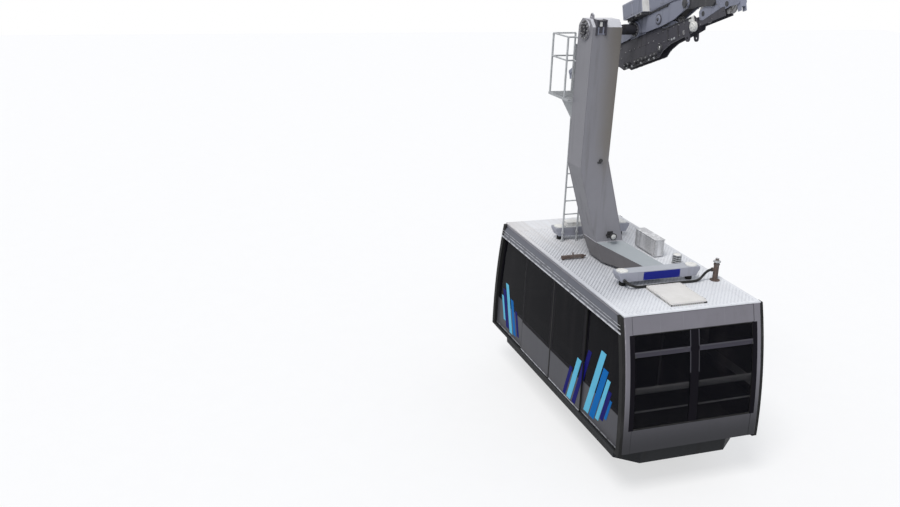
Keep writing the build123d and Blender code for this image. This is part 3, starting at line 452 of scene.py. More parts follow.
def studded_floor():
    """Rubber floor sheet with raised round studs."""
    finish = Finish("studded_floor")
    cell = finish.node("ShaderNodeTexVoronoi", inputs={
        "Vector": finish.coordinates(), "Scale": 36.0, "Randomness": 0.0})
    dust = finish.noise(3.0, detail=6.0)
    base = finish.mix(dust, (0.045, 0.045, 0.048), (0.10, 0.10, 0.10))
    base = finish.mix(1.0 - cell.ramp(0.28, 0.40), base, (0.13, 0.13, 0.13))
    finish.set(Base_Color=base, Roughness=0.70, Normal=finish.bump(1.0 - cell.ramp(0.28, 0.42), 0.0015, 0.8))
    return finish.material


def pad_cover():
    """Pale grained cover of the padded boards, creased a little."""
    finish = Finish("pad_cover")
    grain = finish.node("ShaderNodeTexVoronoi", {"feature": "DISTANCE_TO_EDGE"}, {
        "Vector": finish.coordinates(), "Scale": 420.0})
    crease = finish.noise(14.0, stretch=(1.0, 0.5, 1.0), detail=6.0, roughness=0.6)
    base = finish.mix(crease, (0.56, 0.56, 0.59), (0.72, 0.72, 0.75))
    finish.set(Base_Color=base, Roughness=0.46 + 0.16 * crease)
    finish.set(Normal=finish.bump(grain.ramp(0.0, 0.12) + 0.6 * crease, 0.0007, 0.5))
    return finish.material


def glass_fibre():
    """Cream moulded sheet with a sandy face and dirty specks over it."""
    finish = Finish("cream_plastic")
    sand = finish.noise(120.0, detail=5.0, roughness=0.7)
    cloud = finish.noise(4.5, detail=6.0, roughness=0.7)
    base = finish.mix(cloud, (0.56, 0.54, 0.51), (0.76, 0.74, 0.72))
    base = finish.mix(sand.ramp(0.55, 0.70) * 0.35, base, (0.38, 0.35, 0.30))
    finish.set(Base_Color=base, Roughness=0.62 + 0.2 * sand, Normal=finish.bump(sand, 0.0012, 0.5))
    return finish.material


def lens():
    """Bright lamp glass with moulded ribs."""
    finish = Finish("lamp_lens")
    rib = finish.axis("Y").modulo(0.012)
    finish.set(Base_Color=finish.mix(rib * 80.0, (0.30, 0.30, 0.29), (0.62, 0.62, 0.60)), Roughness=0.12 + 4.0 * rib)
    finish.set(Normal=finish.bump(rib, 0.02, 0.5), Coat_Weight=0.6)
    return finish.material


# Filled once the materials are made: the finishes, and the trees that repeat a small form
MATERIALS = {}
FORMS = {}


def make_materials(settings):
    """Every finish of the cable car, by the name that the pieces use."""
    silver = tuple(settings.silver)
    MATERIALS.update({
        "roof_white": roof_paint(),
        "stud_grey": stud_paint(),
        # The silver's darkening towards the walls' foot is painted shade
        "silver": painted("cabin_silver", silver, rough=0.36, grime=0.10, streak=0.10, metal=0.20, shine=0.25,
                          foot=(ROOF_EDGE + FOOT, 1.30, 0.96)),
        "wall": wall_paint("wall_grey", (0.066, 0.066, 0.077), (0.007, 0.007, 0.008), (0.62, 0.62, 0.64),
                           WALL_Y - 0.027),
        "leaf": wall_paint("leaf_grey", (0.066, 0.066, 0.077), (0.007, 0.007, 0.008), (0.62, 0.62, 0.64),
                           LEAF_Y - 0.015),
        # The top colours of the mast, the foot and the crossbars are painted highlights on faces that look up
        "mast_grey": painted("mast_grey", (0.235, 0.230, 0.250), rough=0.48, grime=0.18, streak=0.22,
                             # The mast's cast is partly a brown streak, partly a painted warm reflection and shade
                             cast=(-0.94, -0.56, ROOF_EDGE + 1.7, (0.168, 0.153, 0.138)), top=(0.52, 0.52, 0.55)),
        "foot_grey": painted("foot_grey", (0.140, 0.132, 0.136), rough=0.50, grime=0.22, streak=0.22,
                             top=(0.300, 0.325, 0.342)),
        "bar_grey": painted("bar_grey", (0.320, 0.325, 0.375), rough=0.45, grime=0.30, streak=0.25,
                            top=(0.350, 0.365, 0.400)),
        "carriage": painted("carriage_grey", (0.240, 0.250, 0.310), rough=0.46, grime=0.55, streak=0.45,
                            dirt=(0.03, 0.028, 0.026), shine=0.3),
        "white": painted("weathered_white", (0.70, 0.69, 0.66), rough=0.5, grime=0.45, streak=0.30,
                         dirt=(0.16, 0.13, 0.10)),
        "band": painted("band_blue_grey", (0.086, 0.092, 0.115), rough=0.40, grime=0.15, streak=0.20),
        "charcoal": painted("charcoal", (0.022, 0.023, 0.025), rough=0.62, grime=0.35, streak=0.25,
                            dirt=(0.05, 0.045, 0.04), shine=0.2),
        "unit_grey": painted("unit_grey", (0.330, 0.340, 0.405), rough=0.46, grime=0.35, streak=0.30,
                             dirt=(0.05, 0.048, 0.046)),
        # panel_grey: grimy dark grey, partly painted shade, as the carriage's lower plates and the guards under the
        # covers sit in shade
        "panel_grey": painted("panel_grey", (0.062, 0.060, 0.072), rough=0.50, grime=0.60, streak=0.50,
                              dirt=(0.018, 0.017, 0.016), shine=0.3),
        "frame_blue": painted("frame_blue", (0.014, 0.012, 0.026), rough=0.35, grime=0.15, streak=0.10),
        # dark: near-black with grease, partly painted shade for the carriage's underside parts
        "dark": dark_greasy_and_shade(),
        "galvanised": galvanised("galvanised", (0.42, 0.43, 0.44)),
        "cabinet": galvanised("weathered_cabinet", (0.50, 0.50, 0.51), streak=0.95),
        "steel": machined("rolled_steel", (0.34, 0.34, 0.35)),
        "pin_steel": machined("greased_pin", (0.048, 0.048, 0.058), rough=0.50),
        "stainless": machined("stainless_tube", (0.62, 0.62, 0.63), rough=0.26),
        # satin_tube: the handrails' pale paint is a painted reflection, standing for the bright stainless tube
        "satin_tube": painted("satin_tube", (0.74, 0.74, 0.77), rough=0.32, grime=0.12, metal=0.25),
        "aluminium": machined("aluminium_trim", (0.60, 0.61, 0.65), rough=0.36),
        "rust": rusty("rust"),
        "rubber": rubber("black_rubber"),
        "hose": rubber("hose_rubber", 0.020),
        "glass": window_tint("side_tint", 0.86),
        "end_glass": window_tint("end_tint", 0.60),
        "border": printed_black(),
        "light_blue": film("film_light_blue", tuple(settings.light_blue)),
        "mid_blue": film("film_mid_blue", tuple(settings.mid_blue)),
        "navy": film("film_navy", tuple(settings.navy)),
        "plate_blue": film("plate_blue", (0.016, 0.022, 0.210)),
        "floor": studded_floor(),
        "pad": pad_cover(),
        "cream": glass_fibre(),
        "lens": lens(),
        "lamp_black": painted("lamp_black", (0.020, 0.020, 0.022), rough=0.5),
    })


NODE_FINISH = {
    "roof": "roof_white", "hatch_coaming": "rubber", "hatch_lid": "cream", "corner_posts": "silver",
    "end_panels": "silver", "end_mullions": "border", "end_glass": "end_glass", "side_panels": "wall",
    "side_glass": "glass", "edge_strips": "rubber", "door_rails": "band", "door_sills": "charcoal",
    "floor": "floor", "underframe": "charcoal", "leaning_pads": "pad", "handrails": "satin_tube",
    "hanger_mast": "mast_grey", "main_pin": "pin_steel", "hanger_foot": "foot_grey", "crossbars": "bar_grey",
    "roof_buffers": "rubber", "buffer_caps": "white", "crossbar_box": "white", "access_ladder": "galvanised",
    "service_platform": "galvanised", "equipment_box": "cabinet", "roof_post": "rust", "roof_hose": "hose",
    "hook_bar": "rust", "roof_sensor": "galvanised", "foot_spotlight": "lamp_black",
    "wheel_rockers": "carriage", "bogie_rockers": "dark", "axles_and_pins": "steel", "main_rocker": "carriage",
    "rope_brake": "dark", "lower_panels": "panel_grey", "rope_sensor": "white", "brake_power_unit": "unit_grey",
    "top_cover": "carriage",
}


# Making of meshes
def slab(shape, x0, x1, y0, y1, z0, z1):
    """A block between two corners, put into a shape."""
    middle = Vector(((x0 + x1) / 2, (y0 + y1) / 2, (z0 + z1) / 2))
    sides = Matrix.Diagonal((abs(x1 - x0), abs(y1 - y0), abs(z1 - z0), 1))
    bmesh.ops.create_cube(shape, size=1.0, matrix=Matrix.Translation(middle) @ sides)


def turned(shape, start, end, radius, tip=None, segments=24):
    """A round bar or cone from one point to another."""
    start, end = Vector(start), Vector(end)
    way = end - start
    matrix = Matrix.Translation((start + end) / 2) @ way.to_track_quat("Z", "Y").to_matrix().to_4x4()
    bmesh.ops.create_cone(shape, cap_ends=True, segments=segments, radius1=radius,
                          radius2=radius if tip is None else tip, depth=way.length, matrix=matrix)


def outline_plate(shape, points, y0, y1):
    """A flat plate between two places in Y, from its outline in X and Z."""
    low = [shape.verts.new((x, y0, z)) for x, z in points]
    high = [shape.verts.new((x, y1, z)) for x, z in points]
    faces = [shape.faces.new(low), shape.faces.new(list(reversed(high)))]
    count = len(points)
    for i in range(count):
        j = (i + 1) % count
        faces.append(shape.faces.new((low[j], low[i], high[i], high[j])))
    bmesh.ops.recalc_face_normals(shape, faces=faces)


def ring(shape, outer, inner, y0, y1):
    """A flat frame: the outer outline less the inner one, both in X and Z with as many points."""
    count = len(outer)
    levels = [[[shape.verts.new((x, y, z)) for x, z in line] for y in (y0, y1)] for line in (outer, inner)]
    (out_low, out_high), (in_low, in_high) = levels
    faces = []
    for i in range(count):
        j = (i + 1) % count
        faces.append(shape.faces.new((out_low[i], out_low[j], in_low[j], in_low[i])))
        faces.append(shape.faces.new((out_high[j], out_high[i], in_high[i], in_high[j])))
        faces.append(shape.faces.new((out_low[j], out_low[i], out_high[i], out_high[j])))
        faces.append(shape.faces.new((in_low[i], in_low[j], in_high[j], in_high[i])))
    bmesh.ops.recalc_face_normals(shape, faces=faces)


def end_x(inset, height):
    """How far out the curved end is at a height below the roof's edge, that far in from its face."""
    return END_REACH - END_R + math.sqrt((END_R - inset) ** 2 - (height - END_FOOT) ** 2)


def end_band(shape, y0, y1, low, high, outer, inner, step=0.12):
    """A thin band that follows the curved end between two heights and two depths in from its face."""
    rows = max(1, round((high - low) / step))
    levels = []
    for k in range(rows + 1):
        h = low + (high - low) * k / rows
        z = ROOF_EDGE + h
        a, b = end_x(outer, h), end_x(inner, h)
        levels.append([shape.verts.new(p) for p in ((a, y0, z), (a, y1, z), (b, y1, z), (b, y0, z))])
    faces = [shape.faces.new(list(reversed(levels[0]))), shape.faces.new(levels[-1])]
    for below, above in zip(levels, levels[1:]):
        for i in range(4):
            j = (i + 1) % 4
            faces.append(shape.faces.new((below[i], below[j], above[j], above[i])))
    bmesh.ops.recalc_face_normals(shape, faces=faces)


def both_ends(shape):
    """Adds the twin at the other end of the cabin."""
    mirror_copy(shape, Vector((-1, 1, 1)))


def both_sides(shape):
    """Adds the twin on the other side."""
    mirror_copy(shape, Vector((1, -1, 1)))


def mirror_copy(shape, signs):
    """Adds the shape's mirror image, with its faces turned outwards again."""
    copied = bmesh.ops.duplicate(shape, geom=shape.verts[:] + shape.edges[:] + shape.faces[:])["geom"]
    for item in copied:
        if isinstance(item, bmesh.types.BMVert):
            item.co = Vector(a * b for a, b in zip(item.co, signs))
    bmesh.ops.reverse_faces(shape, faces=[item for item in copied if isinstance(item, bmesh.types.BMFace)])


def piece(name, shape, body, finish, matrix=None, edge=0.0, smooth=35.0, replaced=()):
    """One finished piece on a body, from a shape that is then freed."""
    if matrix is not None:
        bmesh.ops.transform(shape, matrix=matrix, verts=shape.verts)
    mesh = bpy.data.meshes.new(name)
    shape.to_mesh(mesh)
    shape.free()
    return dress(name, mesh, body, finish, edge, smooth, replaced)


def dress(name, mesh, body, finish, edge=0.0, smooth=35.0, replaced=()):
    """Puts a mesh on a body with its material and softened edges."""
    mesh.materials.clear()
    mesh.materials.append(MATERIALS[finish])
    mesh.shade_smooth()
    mesh.set_sharp_from_angle(angle=math.radians(smooth))
    made = bpy.data.objects.new(name, mesh)
    bpy.context.scene.collection.objects.link(made)
    if edge:
        bevel = made.modifiers.new("Edges", "BEVEL")
        bevel.width = edge
        bevel.segments = 2
        bevel.limit_method = "ANGLE"
        bevel.angle_limit = math.radians(40)
        bevel.harden_normals = True
    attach(made, body)
    if replaced:
        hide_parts(*replaced)
    return made


# Trees that repeat a small form
class Tree:
    """A geometry tree with named inputs, built node by node."""

    def __init__(self, name, inputs):
        self.group = bpy.data.node_groups.new(name, "GeometryNodeTree")
        self.group.interface.new_socket("Geometry", in_out="INPUT", socket_type="NodeSocketGeometry")
        self.group.interface.new_socket("Geometry", in_out="OUTPUT", socket_type="NodeSocketGeometry")
        for key, (kind, value) in inputs.items():
            made = self.group.interface.new_socket(key, in_out="INPUT", socket_type=kind)
            made.default_value = value
        self.source = self.group.nodes.new("NodeGroupInput")
        self.end = self.group.nodes.new("NodeGroupOutput")

    def value(self, key):
        """One of the tree's named inputs."""
        return self.source.outputs[key]

    def node(self, kind, settings=None, inputs=None):
        """A node with its settings, then the values or links of its sockets."""
        made = self.group.nodes.new(kind)
        for key, value in (settings or {}).items():
            setattr(made, key, value)
        for key, value in (inputs or {}).items():
            if isinstance(value, bpy.types.NodeSocket):
                self.group.links.new(value, made.inputs[key])
            else:
                made.inputs[key].default_value = value
        return made

    def finish(self, geometry, material):
        """Ends the tree in plain geometry of one material."""
        solid = self.node("GeometryNodeRealizeInstances", inputs={"Geometry": geometry})
        coloured = self.node("GeometryNodeSetMaterial", inputs={"Geometry": solid.outputs[0]})
        coloured.inputs["Material"].default_value = material
        self.group.links.new(coloured.outputs[0], self.end.inputs["Geometry"])


def repeat_tree(name, form, material):
    """Puts a small form on every point, turned to the point's own direction."""
    tree = Tree(name, {"Scale": ("NodeSocketFloat", 1.0)})
    info = tree.node("GeometryNodeObjectInfo", {"transform_space": "ORIGINAL"}, {"Object": form})
    away = tree.node("GeometryNodeInputNamedAttribute", {"data_type": "FLOAT_VECTOR"}, {"Name": "away"})
    turn = tree.node("FunctionNodeAlignRotationToVector", {"axis": "Z"}, {"Vector": away.outputs[0]})
    points = tree.node("GeometryNodeMeshToPoints", {"mode": "VERTICES"}, {"Mesh": tree.value("Geometry")})
    put = tree.node("GeometryNodeInstanceOnPoints", inputs={
        "Points": points.outputs[0], "Instance": info.outputs["Geometry"], "Rotation": turn.outputs[0],
        "Scale": tree.value("Scale")})
    tree.finish(put.outputs[0], material)
    return tree.group


def stud_tree(material):
    """Staggered rows of long low studs over a rectangle, left out inside the hatch's ring."""
    tree = Tree("Tread studs", {
        "Length": ("NodeSocketFloat", 4.0), "Width": ("NodeSocketFloat", 2.0),
        "Middle": ("NodeSocketVector", (0, 0, 0)), "Step along": ("NodeSocketFloat", 0.09),
        "Step across": ("NodeSocketFloat", 0.03), "Stud size": ("NodeSocketVector", (0.06, 0.02, 0.003)),
        "Hole middle": ("NodeSocketVector", (0, 0, 0)), "Hole half": ("NodeSocketVector", (0.4, 0.3, 1.0))})

    def maths(operation, a, b=0.0):
        return tree.node("ShaderNodeMath", {"operation": operation}, {0: a, 1: b}).outputs[0]

    def count(length, step):
        return maths("ADD", maths("FLOOR", maths("DIVIDE", tree.value(length), tree.value(step))), 1.0)

    rows = count("Width", "Step across")
    grid = tree.node("GeometryNodeMeshGrid", inputs={
        "Size X": tree.value("Length"), "Size Y": tree.value("Width"),
        "Vertices X": count("Length", "Step along"), "Vertices Y": rows})
    index = tree.node("GeometryNodeInputIndex").outputs[0]
    odd = maths("FLOORED_MODULO", maths("FLOORED_MODULO", index, rows), 2.0)
    shift = maths("MULTIPLY", maths("MULTIPLY", odd, 0.5), tree.value("Step along"))
    stagger = tree.node("ShaderNodeCombineXYZ", inputs={0: shift})
    offset = tree.node("ShaderNodeVectorMath", {"operation": "ADD"}, {
        0: stagger.outputs[0], 1: tree.value("Middle")})
    place = tree.node("GeometryNodeSetPosition", inputs={
        "Geometry": grid.outputs["Mesh"], "Offset": offset.outputs[0]})
    spot = tree.node("GeometryNodeInputPosition")
    off = tree.node("ShaderNodeVectorMath", {"operation": "SUBTRACT"}, {
        0: spot.outputs[0], 1: tree.value("Hole middle")})
    away = tree.node("ShaderNodeVectorMath", {"operation": "ABSOLUTE"}, {0: off.outputs[0]})
    inside = tree.node("FunctionNodeCompare", {"data_type": "VECTOR", "mode": "ELEMENT", "operation": "LESS_THAN"}, {
        4: away.outputs[0], 5: tree.value("Hole half")})
    left = tree.node("GeometryNodeDeleteGeometry", {"domain": "POINT"}, {
        "Geometry": place.outputs[0], "Selection": inside.outputs[0]})
    stud = tree.node("GeometryNodeMeshCone", {"fill_type": "NGON"}, {
        "Vertices": 4, "Side Segments": 1, "Radius Top": 0.28, "Radius Bottom": 0.5, "Depth": 1.0})
    put = tree.node("GeometryNodeInstanceOnPoints", inputs={
        "Points": left.outputs[0], "Instance": stud.outputs["Mesh"], "Scale": tree.value("Stud size")})
    tree.finish(put.outputs[0], material)
    return tree.group


def grown(name, tree, values, body, finish, points=(), away=(0, 0, 1), matrix=None):
    """Runs a tree on points, keeps the result as a plain mesh and puts it on a body.

    away is the direction of all points, or a list with one for each."""
    base = bpy.data.meshes.new(name + "_points")
    base.from_pydata([tuple(p) for p in points], [], [])
    if points:
        ways = base.attributes.new("away", "FLOAT_VECTOR", "POINT")
        directions = list(away) if isinstance(away[0], (tuple, list, Vector)) else [away] * len(points)
        for item, way in zip(ways.data, directions):
            item.vector = way
    holder = bpy.data.objects.new(name + "_points", base)
    bpy.context.scene.collection.objects.link(holder)
    modifier = holder.modifiers.new("Tree", "NODES")
    modifier.node_group = tree
    for item in tree.interface.items_tree:
        if item.item_type == "SOCKET" and item.in_out == "INPUT" and item.name in values:
            modifier[item.identifier] = values[item.name]
    graph = bpy.context.evaluated_depsgraph_get()
    mesh = bpy.data.meshes.new_from_object(holder.evaluated_get(graph), depsgraph=graph)
    mesh.name = name
    holder.modifiers.clear()
    bpy.data.objects.remove(holder)
    bpy.data.meshes.remove(base)
    if matrix is not None:
        mesh.transform(matrix)
    return dress(name, mesh, body, finish, smooth=30.0)


def small_form(name, draw):
    """A small shape kept out of sight, for a tree to repeat."""
    shape = bmesh.new()
    draw(shape)
    mesh = bpy.data.meshes.new(name)
    shape.to_mesh(mesh)
    shape.free()
    mesh.shade_smooth()
    mesh.set_sharp_from_angle(angle=math.radians(35))
    return bpy.data.objects.new(name, mesh)


def draw_bolt(shape):
    """A hexagon head one unit across on its washer, its foot at the origin."""
    turned(shape, (0, 0, 0), (0, 0, 0.12), 0.72, segments=16)
    turned(shape, (0, 0, 0.12), (0, 0, 0.62), 0.54, tip=0.50, segments=6)
    turned(shape, (0, 0, 0.62), (0, 0, 0.86), 0.28, tip=0.24, segments=8)


def draw_rivet(shape):
    """A low round head one unit across."""
    turned(shape, (0, 0, 0), (0, 0, 0.14), 0.50, tip=0.46, segments=10)
    turned(shape, (0, 0, 0.14), (0, 0, 0.30), 0.46, tip=0.22, segments=10)


def bolts(name, points, away, size, body, finish="steel", matrix=None):
    """Bolt heads at points, each facing its own way."""
    return grown(name, FORMS["bolt"], {"Scale": size}, body, finish, points, away, matrix)


def rivets(name, points, away, size, body, finish):
    """Low round heads at points."""
    return grown(name, FORMS["rivet"], {"Scale": size}, body, finish, points, away)


def circle(centre, radius, count):
    """Places round a circle, as X and Z or as S and N."""
    x, z = centre
    angles = [2 * math.pi * k / count for k in range(count)]
    return [(x + radius * math.cos(a), z + radius * math.sin(a)) for a in angles]


def spread(low, high, step):
    """Evenly spaced places from low to high, about a step apart."""
    count = max(1, round((high - low) / step))
    return [low + (high - low) * k / count for k in range(count + 1)]


class CableCarOperator:
    """Runs an operator's own make with the scene's settings."""

    bl_options = {"REGISTER", "UNDO"}

    def execute(self, context):
        self.make(context.scene.cable_car)
        return {"FINISHED"}


class CABLECAR_OT_finishes(CableCarOperator, bpy.types.Operator):
    """Make every material and give each solid of the frame its own"""

    bl_idname = "cablecar.finishes"
    bl_label = "Finishes"

    def make(self, settings):
        make_materials(settings)
        FORMS["bolt"] = repeat_tree("Bolt heads", small_form("bolt_form", draw_bolt), MATERIALS["steel"])
        FORMS["rivet"] = repeat_tree("Rivet heads", small_form("rivet_form", draw_rivet), MATERIALS["silver"])
        for name, node in NODES.items():
            if name.startswith("door_leaf"):
                finish = "leaf"
            elif name.startswith("door_glass"):
                finish = "glass"
            elif name.startswith("track_wheel"):
                finish = "steel"
            else:
                finish = NODE_FINISH[name]
            node.data.materials.clear()
            node.data.materials.append(MATERIALS[finish])


class CABLECAR_OT_roof(CableCarOperator, bpy.types.Operator):
    """Lay the roof's tread studs, seams, edge rivets and hatch fittings"""

    bl_idname = "cablecar.roof"
    bl_label = "Roof"

    SEAM_X = -1.890

    def make(self, settings):
        low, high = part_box("hatch_coaming")
        reach = end_x(0, 0) - 0.10
        margin = 0.03
        values = {
            "Length": reach - self.SEAM_X - 0.08, "Width": 2.34,
            "Middle": ((reach + self.SEAM_X) / 2 + 0.03, 0, ROOF_EDGE),
            "Step along": settings.stud_step[0], "Step across": settings.stud_step[1],
            "Stud size": tuple(settings.stud_size), "Hole middle": tuple((low + high) / 2),
            "Hole half": ((high.x - low.x) / 2 + margin, (high.y - low.y) / 2 + margin, 1.0)}
        grown("roof_studs", stud_tree(MATERIALS["stud_grey"]), values, "cabin", "stud_grey")
        self.seam()
        self.hatch(low, high)

    def seam(self):
        """The strip over the joint of the roof's sheets, its rivets and those along the roof's edges."""
        top, half = ROOF_EDGE + 0.003, 0.030
        shape = bmesh.new()
        slab(shape, self.SEAM_X - half, self.SEAM_X + half, -1.225, 1.225, ROOF_EDGE - 0.002, top)
        piece("roof_seam", shape, "cabin", "roof_white", edge=0.001)
        points = [(self.SEAM_X + side * 0.018, y, top) for side in (-1, 1) for y in spread(-1.20, 1.20, 0.12)]
        rivets("roof_seam_rivets", points, (0, 0, 1), 0.011, "cabin", "galvanised")
        edge = [(x, side * 1.222, ROOF_EDGE - 0.0005) for side in (-1, 1) for x in spread(-2.35, 2.35, 0.20)]
        rivets("roof_edge_rivets", edge, (0, 0, 1), 0.010, "cabin", "galvanised")

    def hatch(self, low, high):
        """Screws round the lid's flange, its pull, and the gasket's cups on three sides of the coaming."""
        top, inset, step = ROOF_EDGE + 0.048, 0.022, 0.055
        far = low.y + 0.656
        rows, columns = (low.y + inset, far - inset), (low.x + inset, high.x - inset)
        points = [(x, y, top) for x in spread(low.x + 0.04, high.x - 0.04, step) for y in rows]
        points += [(x, y, top) for y in spread(low.y + 0.05, far - 0.05, step) for x in columns]
        rivets("hatch_lid_screws", points, (0, 0, 1), 0.010, "roof_hatch", "rust")
        shape = bmesh.new()
        middle, face, foot = (low.x + high.x) / 2, low.y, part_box("hatch_lid")[0].z
        slab(shape, middle - 0.06, middle + 0.06, face - 0.010, face + 0.004, foot + 0.004, foot + 0.018)
        turned(shape, (middle - 0.04, face - 0.010, foot + 0.010), (middle + 0.04, face - 0.010, foot + 0.010),
               0.006, segments=12)
        piece("hatch_pull", shape, "roof_hatch", "galvanised", edge=0.002)
        z, step = ROOF_EDGE + 0.012, 0.040
        front = [(x, face, z) for x in spread(low.x + 0.03, high.x - 0.03, step)]
        ends = [(x, y, z) for x in (low.x, high.x) for y in spread(low.y + 0.03, high.y - 0.10, step)]
        ways = [(0, -1, 0)] * len(front) + [(-1 if x < middle else 1, 0, 0) for x, _, _ in ends]
        rivets("hatch_gasket_cups", front + ends, ways, 0.022, "cabin", "cream")


class CABLECAR_OT_sides(CableCarOperator, bpy.types.Operator):
    """Make the cant rails' trims, and the seals, strips and printed borders of door leaves and walls"""

    bl_idname = "cablecar.sides"
    bl_label = "Sides and doors"

    # Height of the kick strips, and thickness of the printed borders
    KICK, INK = 0.024, 0.0007

    def make(self, settings):
        self.rails()
        for leaf, (end, side) in LEAVES.items():
            self.leaf(leaf, end, side)
        self.walls()

    def rails(self):
        """The cant rails' lower lips, mid beads and gutters."""
        reach, gap, foot = 2.50, 0.006, ROOF_EDGE + BAND
        shape = bmesh.new()
        for x0, x1, lift in ((-reach, -gap, 0.0), (gap, reach, 0.004)):
            slab(shape, x0, x1, RAIL_Y - 0.002, RAIL_Y + 0.012, foot + lift, foot + 0.030 + lift)
        both_sides(shape)
        piece("rail_lower_lips", shape, "cabin", "aluminium", edge=0.003)
        shape = bmesh.new()
        slab(shape, -reach + 0.03, reach - 0.03, RAIL_Y - 0.002, RAIL_Y + 0.005, ROOF_EDGE - 0.222, ROOF_EDGE - 0.210)
        slab(shape, -reach + 0.05, reach - 0.05, RAIL_Y - 0.002, RAIL_Y + 0.004, ROOF_EDGE - 0.166, ROOF_EDGE - 0.158)
        both_sides(shape)
        piece("rail_mid_beads", shape, "cabin", "aluminium", edge=0.002)
        shape = bmesh.new()
        slab(shape, -reach + 0.09, reach - 0.09, 1.256, 1.276, ROOF_EDGE - 0.052, ROOF_EDGE - 0.030)
        both_sides(shape)
        piece("rail_gutters", shape, "cabin", "silver", edge=0.004)

    def leaf(self, leaf, end, side):
        """One door leaf's edge seals, kick strip, belt seal and the printed border of its pane."""
        body = "door_" + leaf
        y0, y1 = side * LEAF_Y, side * (LEAF_Y + 0.004)
        foot, belt, top = ROOF_EDGE + FOOT, ROOF_EDGE + BELT, ROOF_EDGE + BAND
        back = side * (LEAF_Y - 0.026)
        shape = bmesh.new()
        slab(shape, end * 0.0012, end * 0.020, back, y1, foot, top - 0.010)
        slab(shape, end * (LEAF_W - 0.006), end * (LEAF_W + 0.004), back, side * (LEAF_Y + 0.001), foot, top - 0.010)
        piece(f"leaf_seals_{leaf}", shape, body, "rubber", edge=0.0015)
        shape = bmesh.new()
        slab(shape, end * 0.024, end * (LEAF_W - 0.010), y0 - side * 0.002, y1, foot, foot + self.KICK)
        piece(f"leaf_kick_strip_{leaf}", shape, body, "aluminium", edge=0.0015)
        shape = bmesh.new()
        slab(shape, end * 0.022, end * (LEAF_W - 0.008), y0 - side * 0.001, side * (LEAF_Y + 0.002),
             belt - 0.010, belt + 0.003)
        piece(f"leaf_belt_seal_{leaf}", shape, body, "rubber", edge=0.001)
        shape = bmesh.new()
        wide = 0.062
        x0, x1 = 0.020, LEAF_W - 0.006
        z0, z1 = belt + 0.003, top - 0.012
        outer = [(end * x, z) for x, z in ((x0, z0), (x1, z0), (x1, z1), (x0, z1))]
        inner = [(end * x, z) for x, z in (
            (x0 + wide, z0 + wide), (x1 - wide, z0 + wide), (x1 - wide, z1 - wide), (x0 + wide, z1 - wide))]
        ring(shape, outer, inner, y0, side * (LEAF_Y + self.INK))
        piece(f"leaf_border_{leaf}", shape, body, "border")

    def walls(self):
        """The fixed walls' kick strips and belt seals, and their panes' borders along the curved ends."""
        shape = bmesh.new()
        low, high = ROOF_EDGE + FOOT, ROOF_EDGE + BELT
        x0, post = LEAF_W + 0.006, 0.125
        slab(shape, x0, end_x(post, FOOT), WALL_Y - 0.002, WALL_Y + 0.005, low, low + self.KICK)
        both_ends(shape)
        both_sides(shape)
        piece("wall_kick_strips", shape, "cabin", "aluminium", edge=0.0015)
        shape = bmesh.new()
        slab(shape, x0, end_x(post, BELT), WALL_Y - 0.001, WALL_Y + 0.002, high - 0.010, high + 0.003)
        both_ends(shape)
        both_sides(shape)
        piece("wall_belt_seals", shape, "cabin", "rubber", edge=0.001)
        shape = bmesh.new()
        wide, inset, steps = 0.058, 0.122, 8
        foot, top = BELT + 0.003, BAND - 0.007
        rise = top - foot - 2 * wide
        outer = [(x0 + 0.002, h) for h in (top, foot)]
        inner = [(x0 + wide, h) for h in (top - wide, foot + wide)]
        for k in range(steps + 1):
            h = foot + (top - foot) * k / steps
            outer.append((end_x(inset, h), h))
            h = foot + wide + rise * k / steps
            inner.append((end_x(inset + wide, h), h))
        ring(shape, outer, inner, WALL_Y, WALL_Y + self.INK)
        both_ends(shape)
        both_sides(shape)
        piece("wall_borders", shape, "cabin", "border", matrix=Matrix.Translation((0, 0, ROOF_EDGE)))


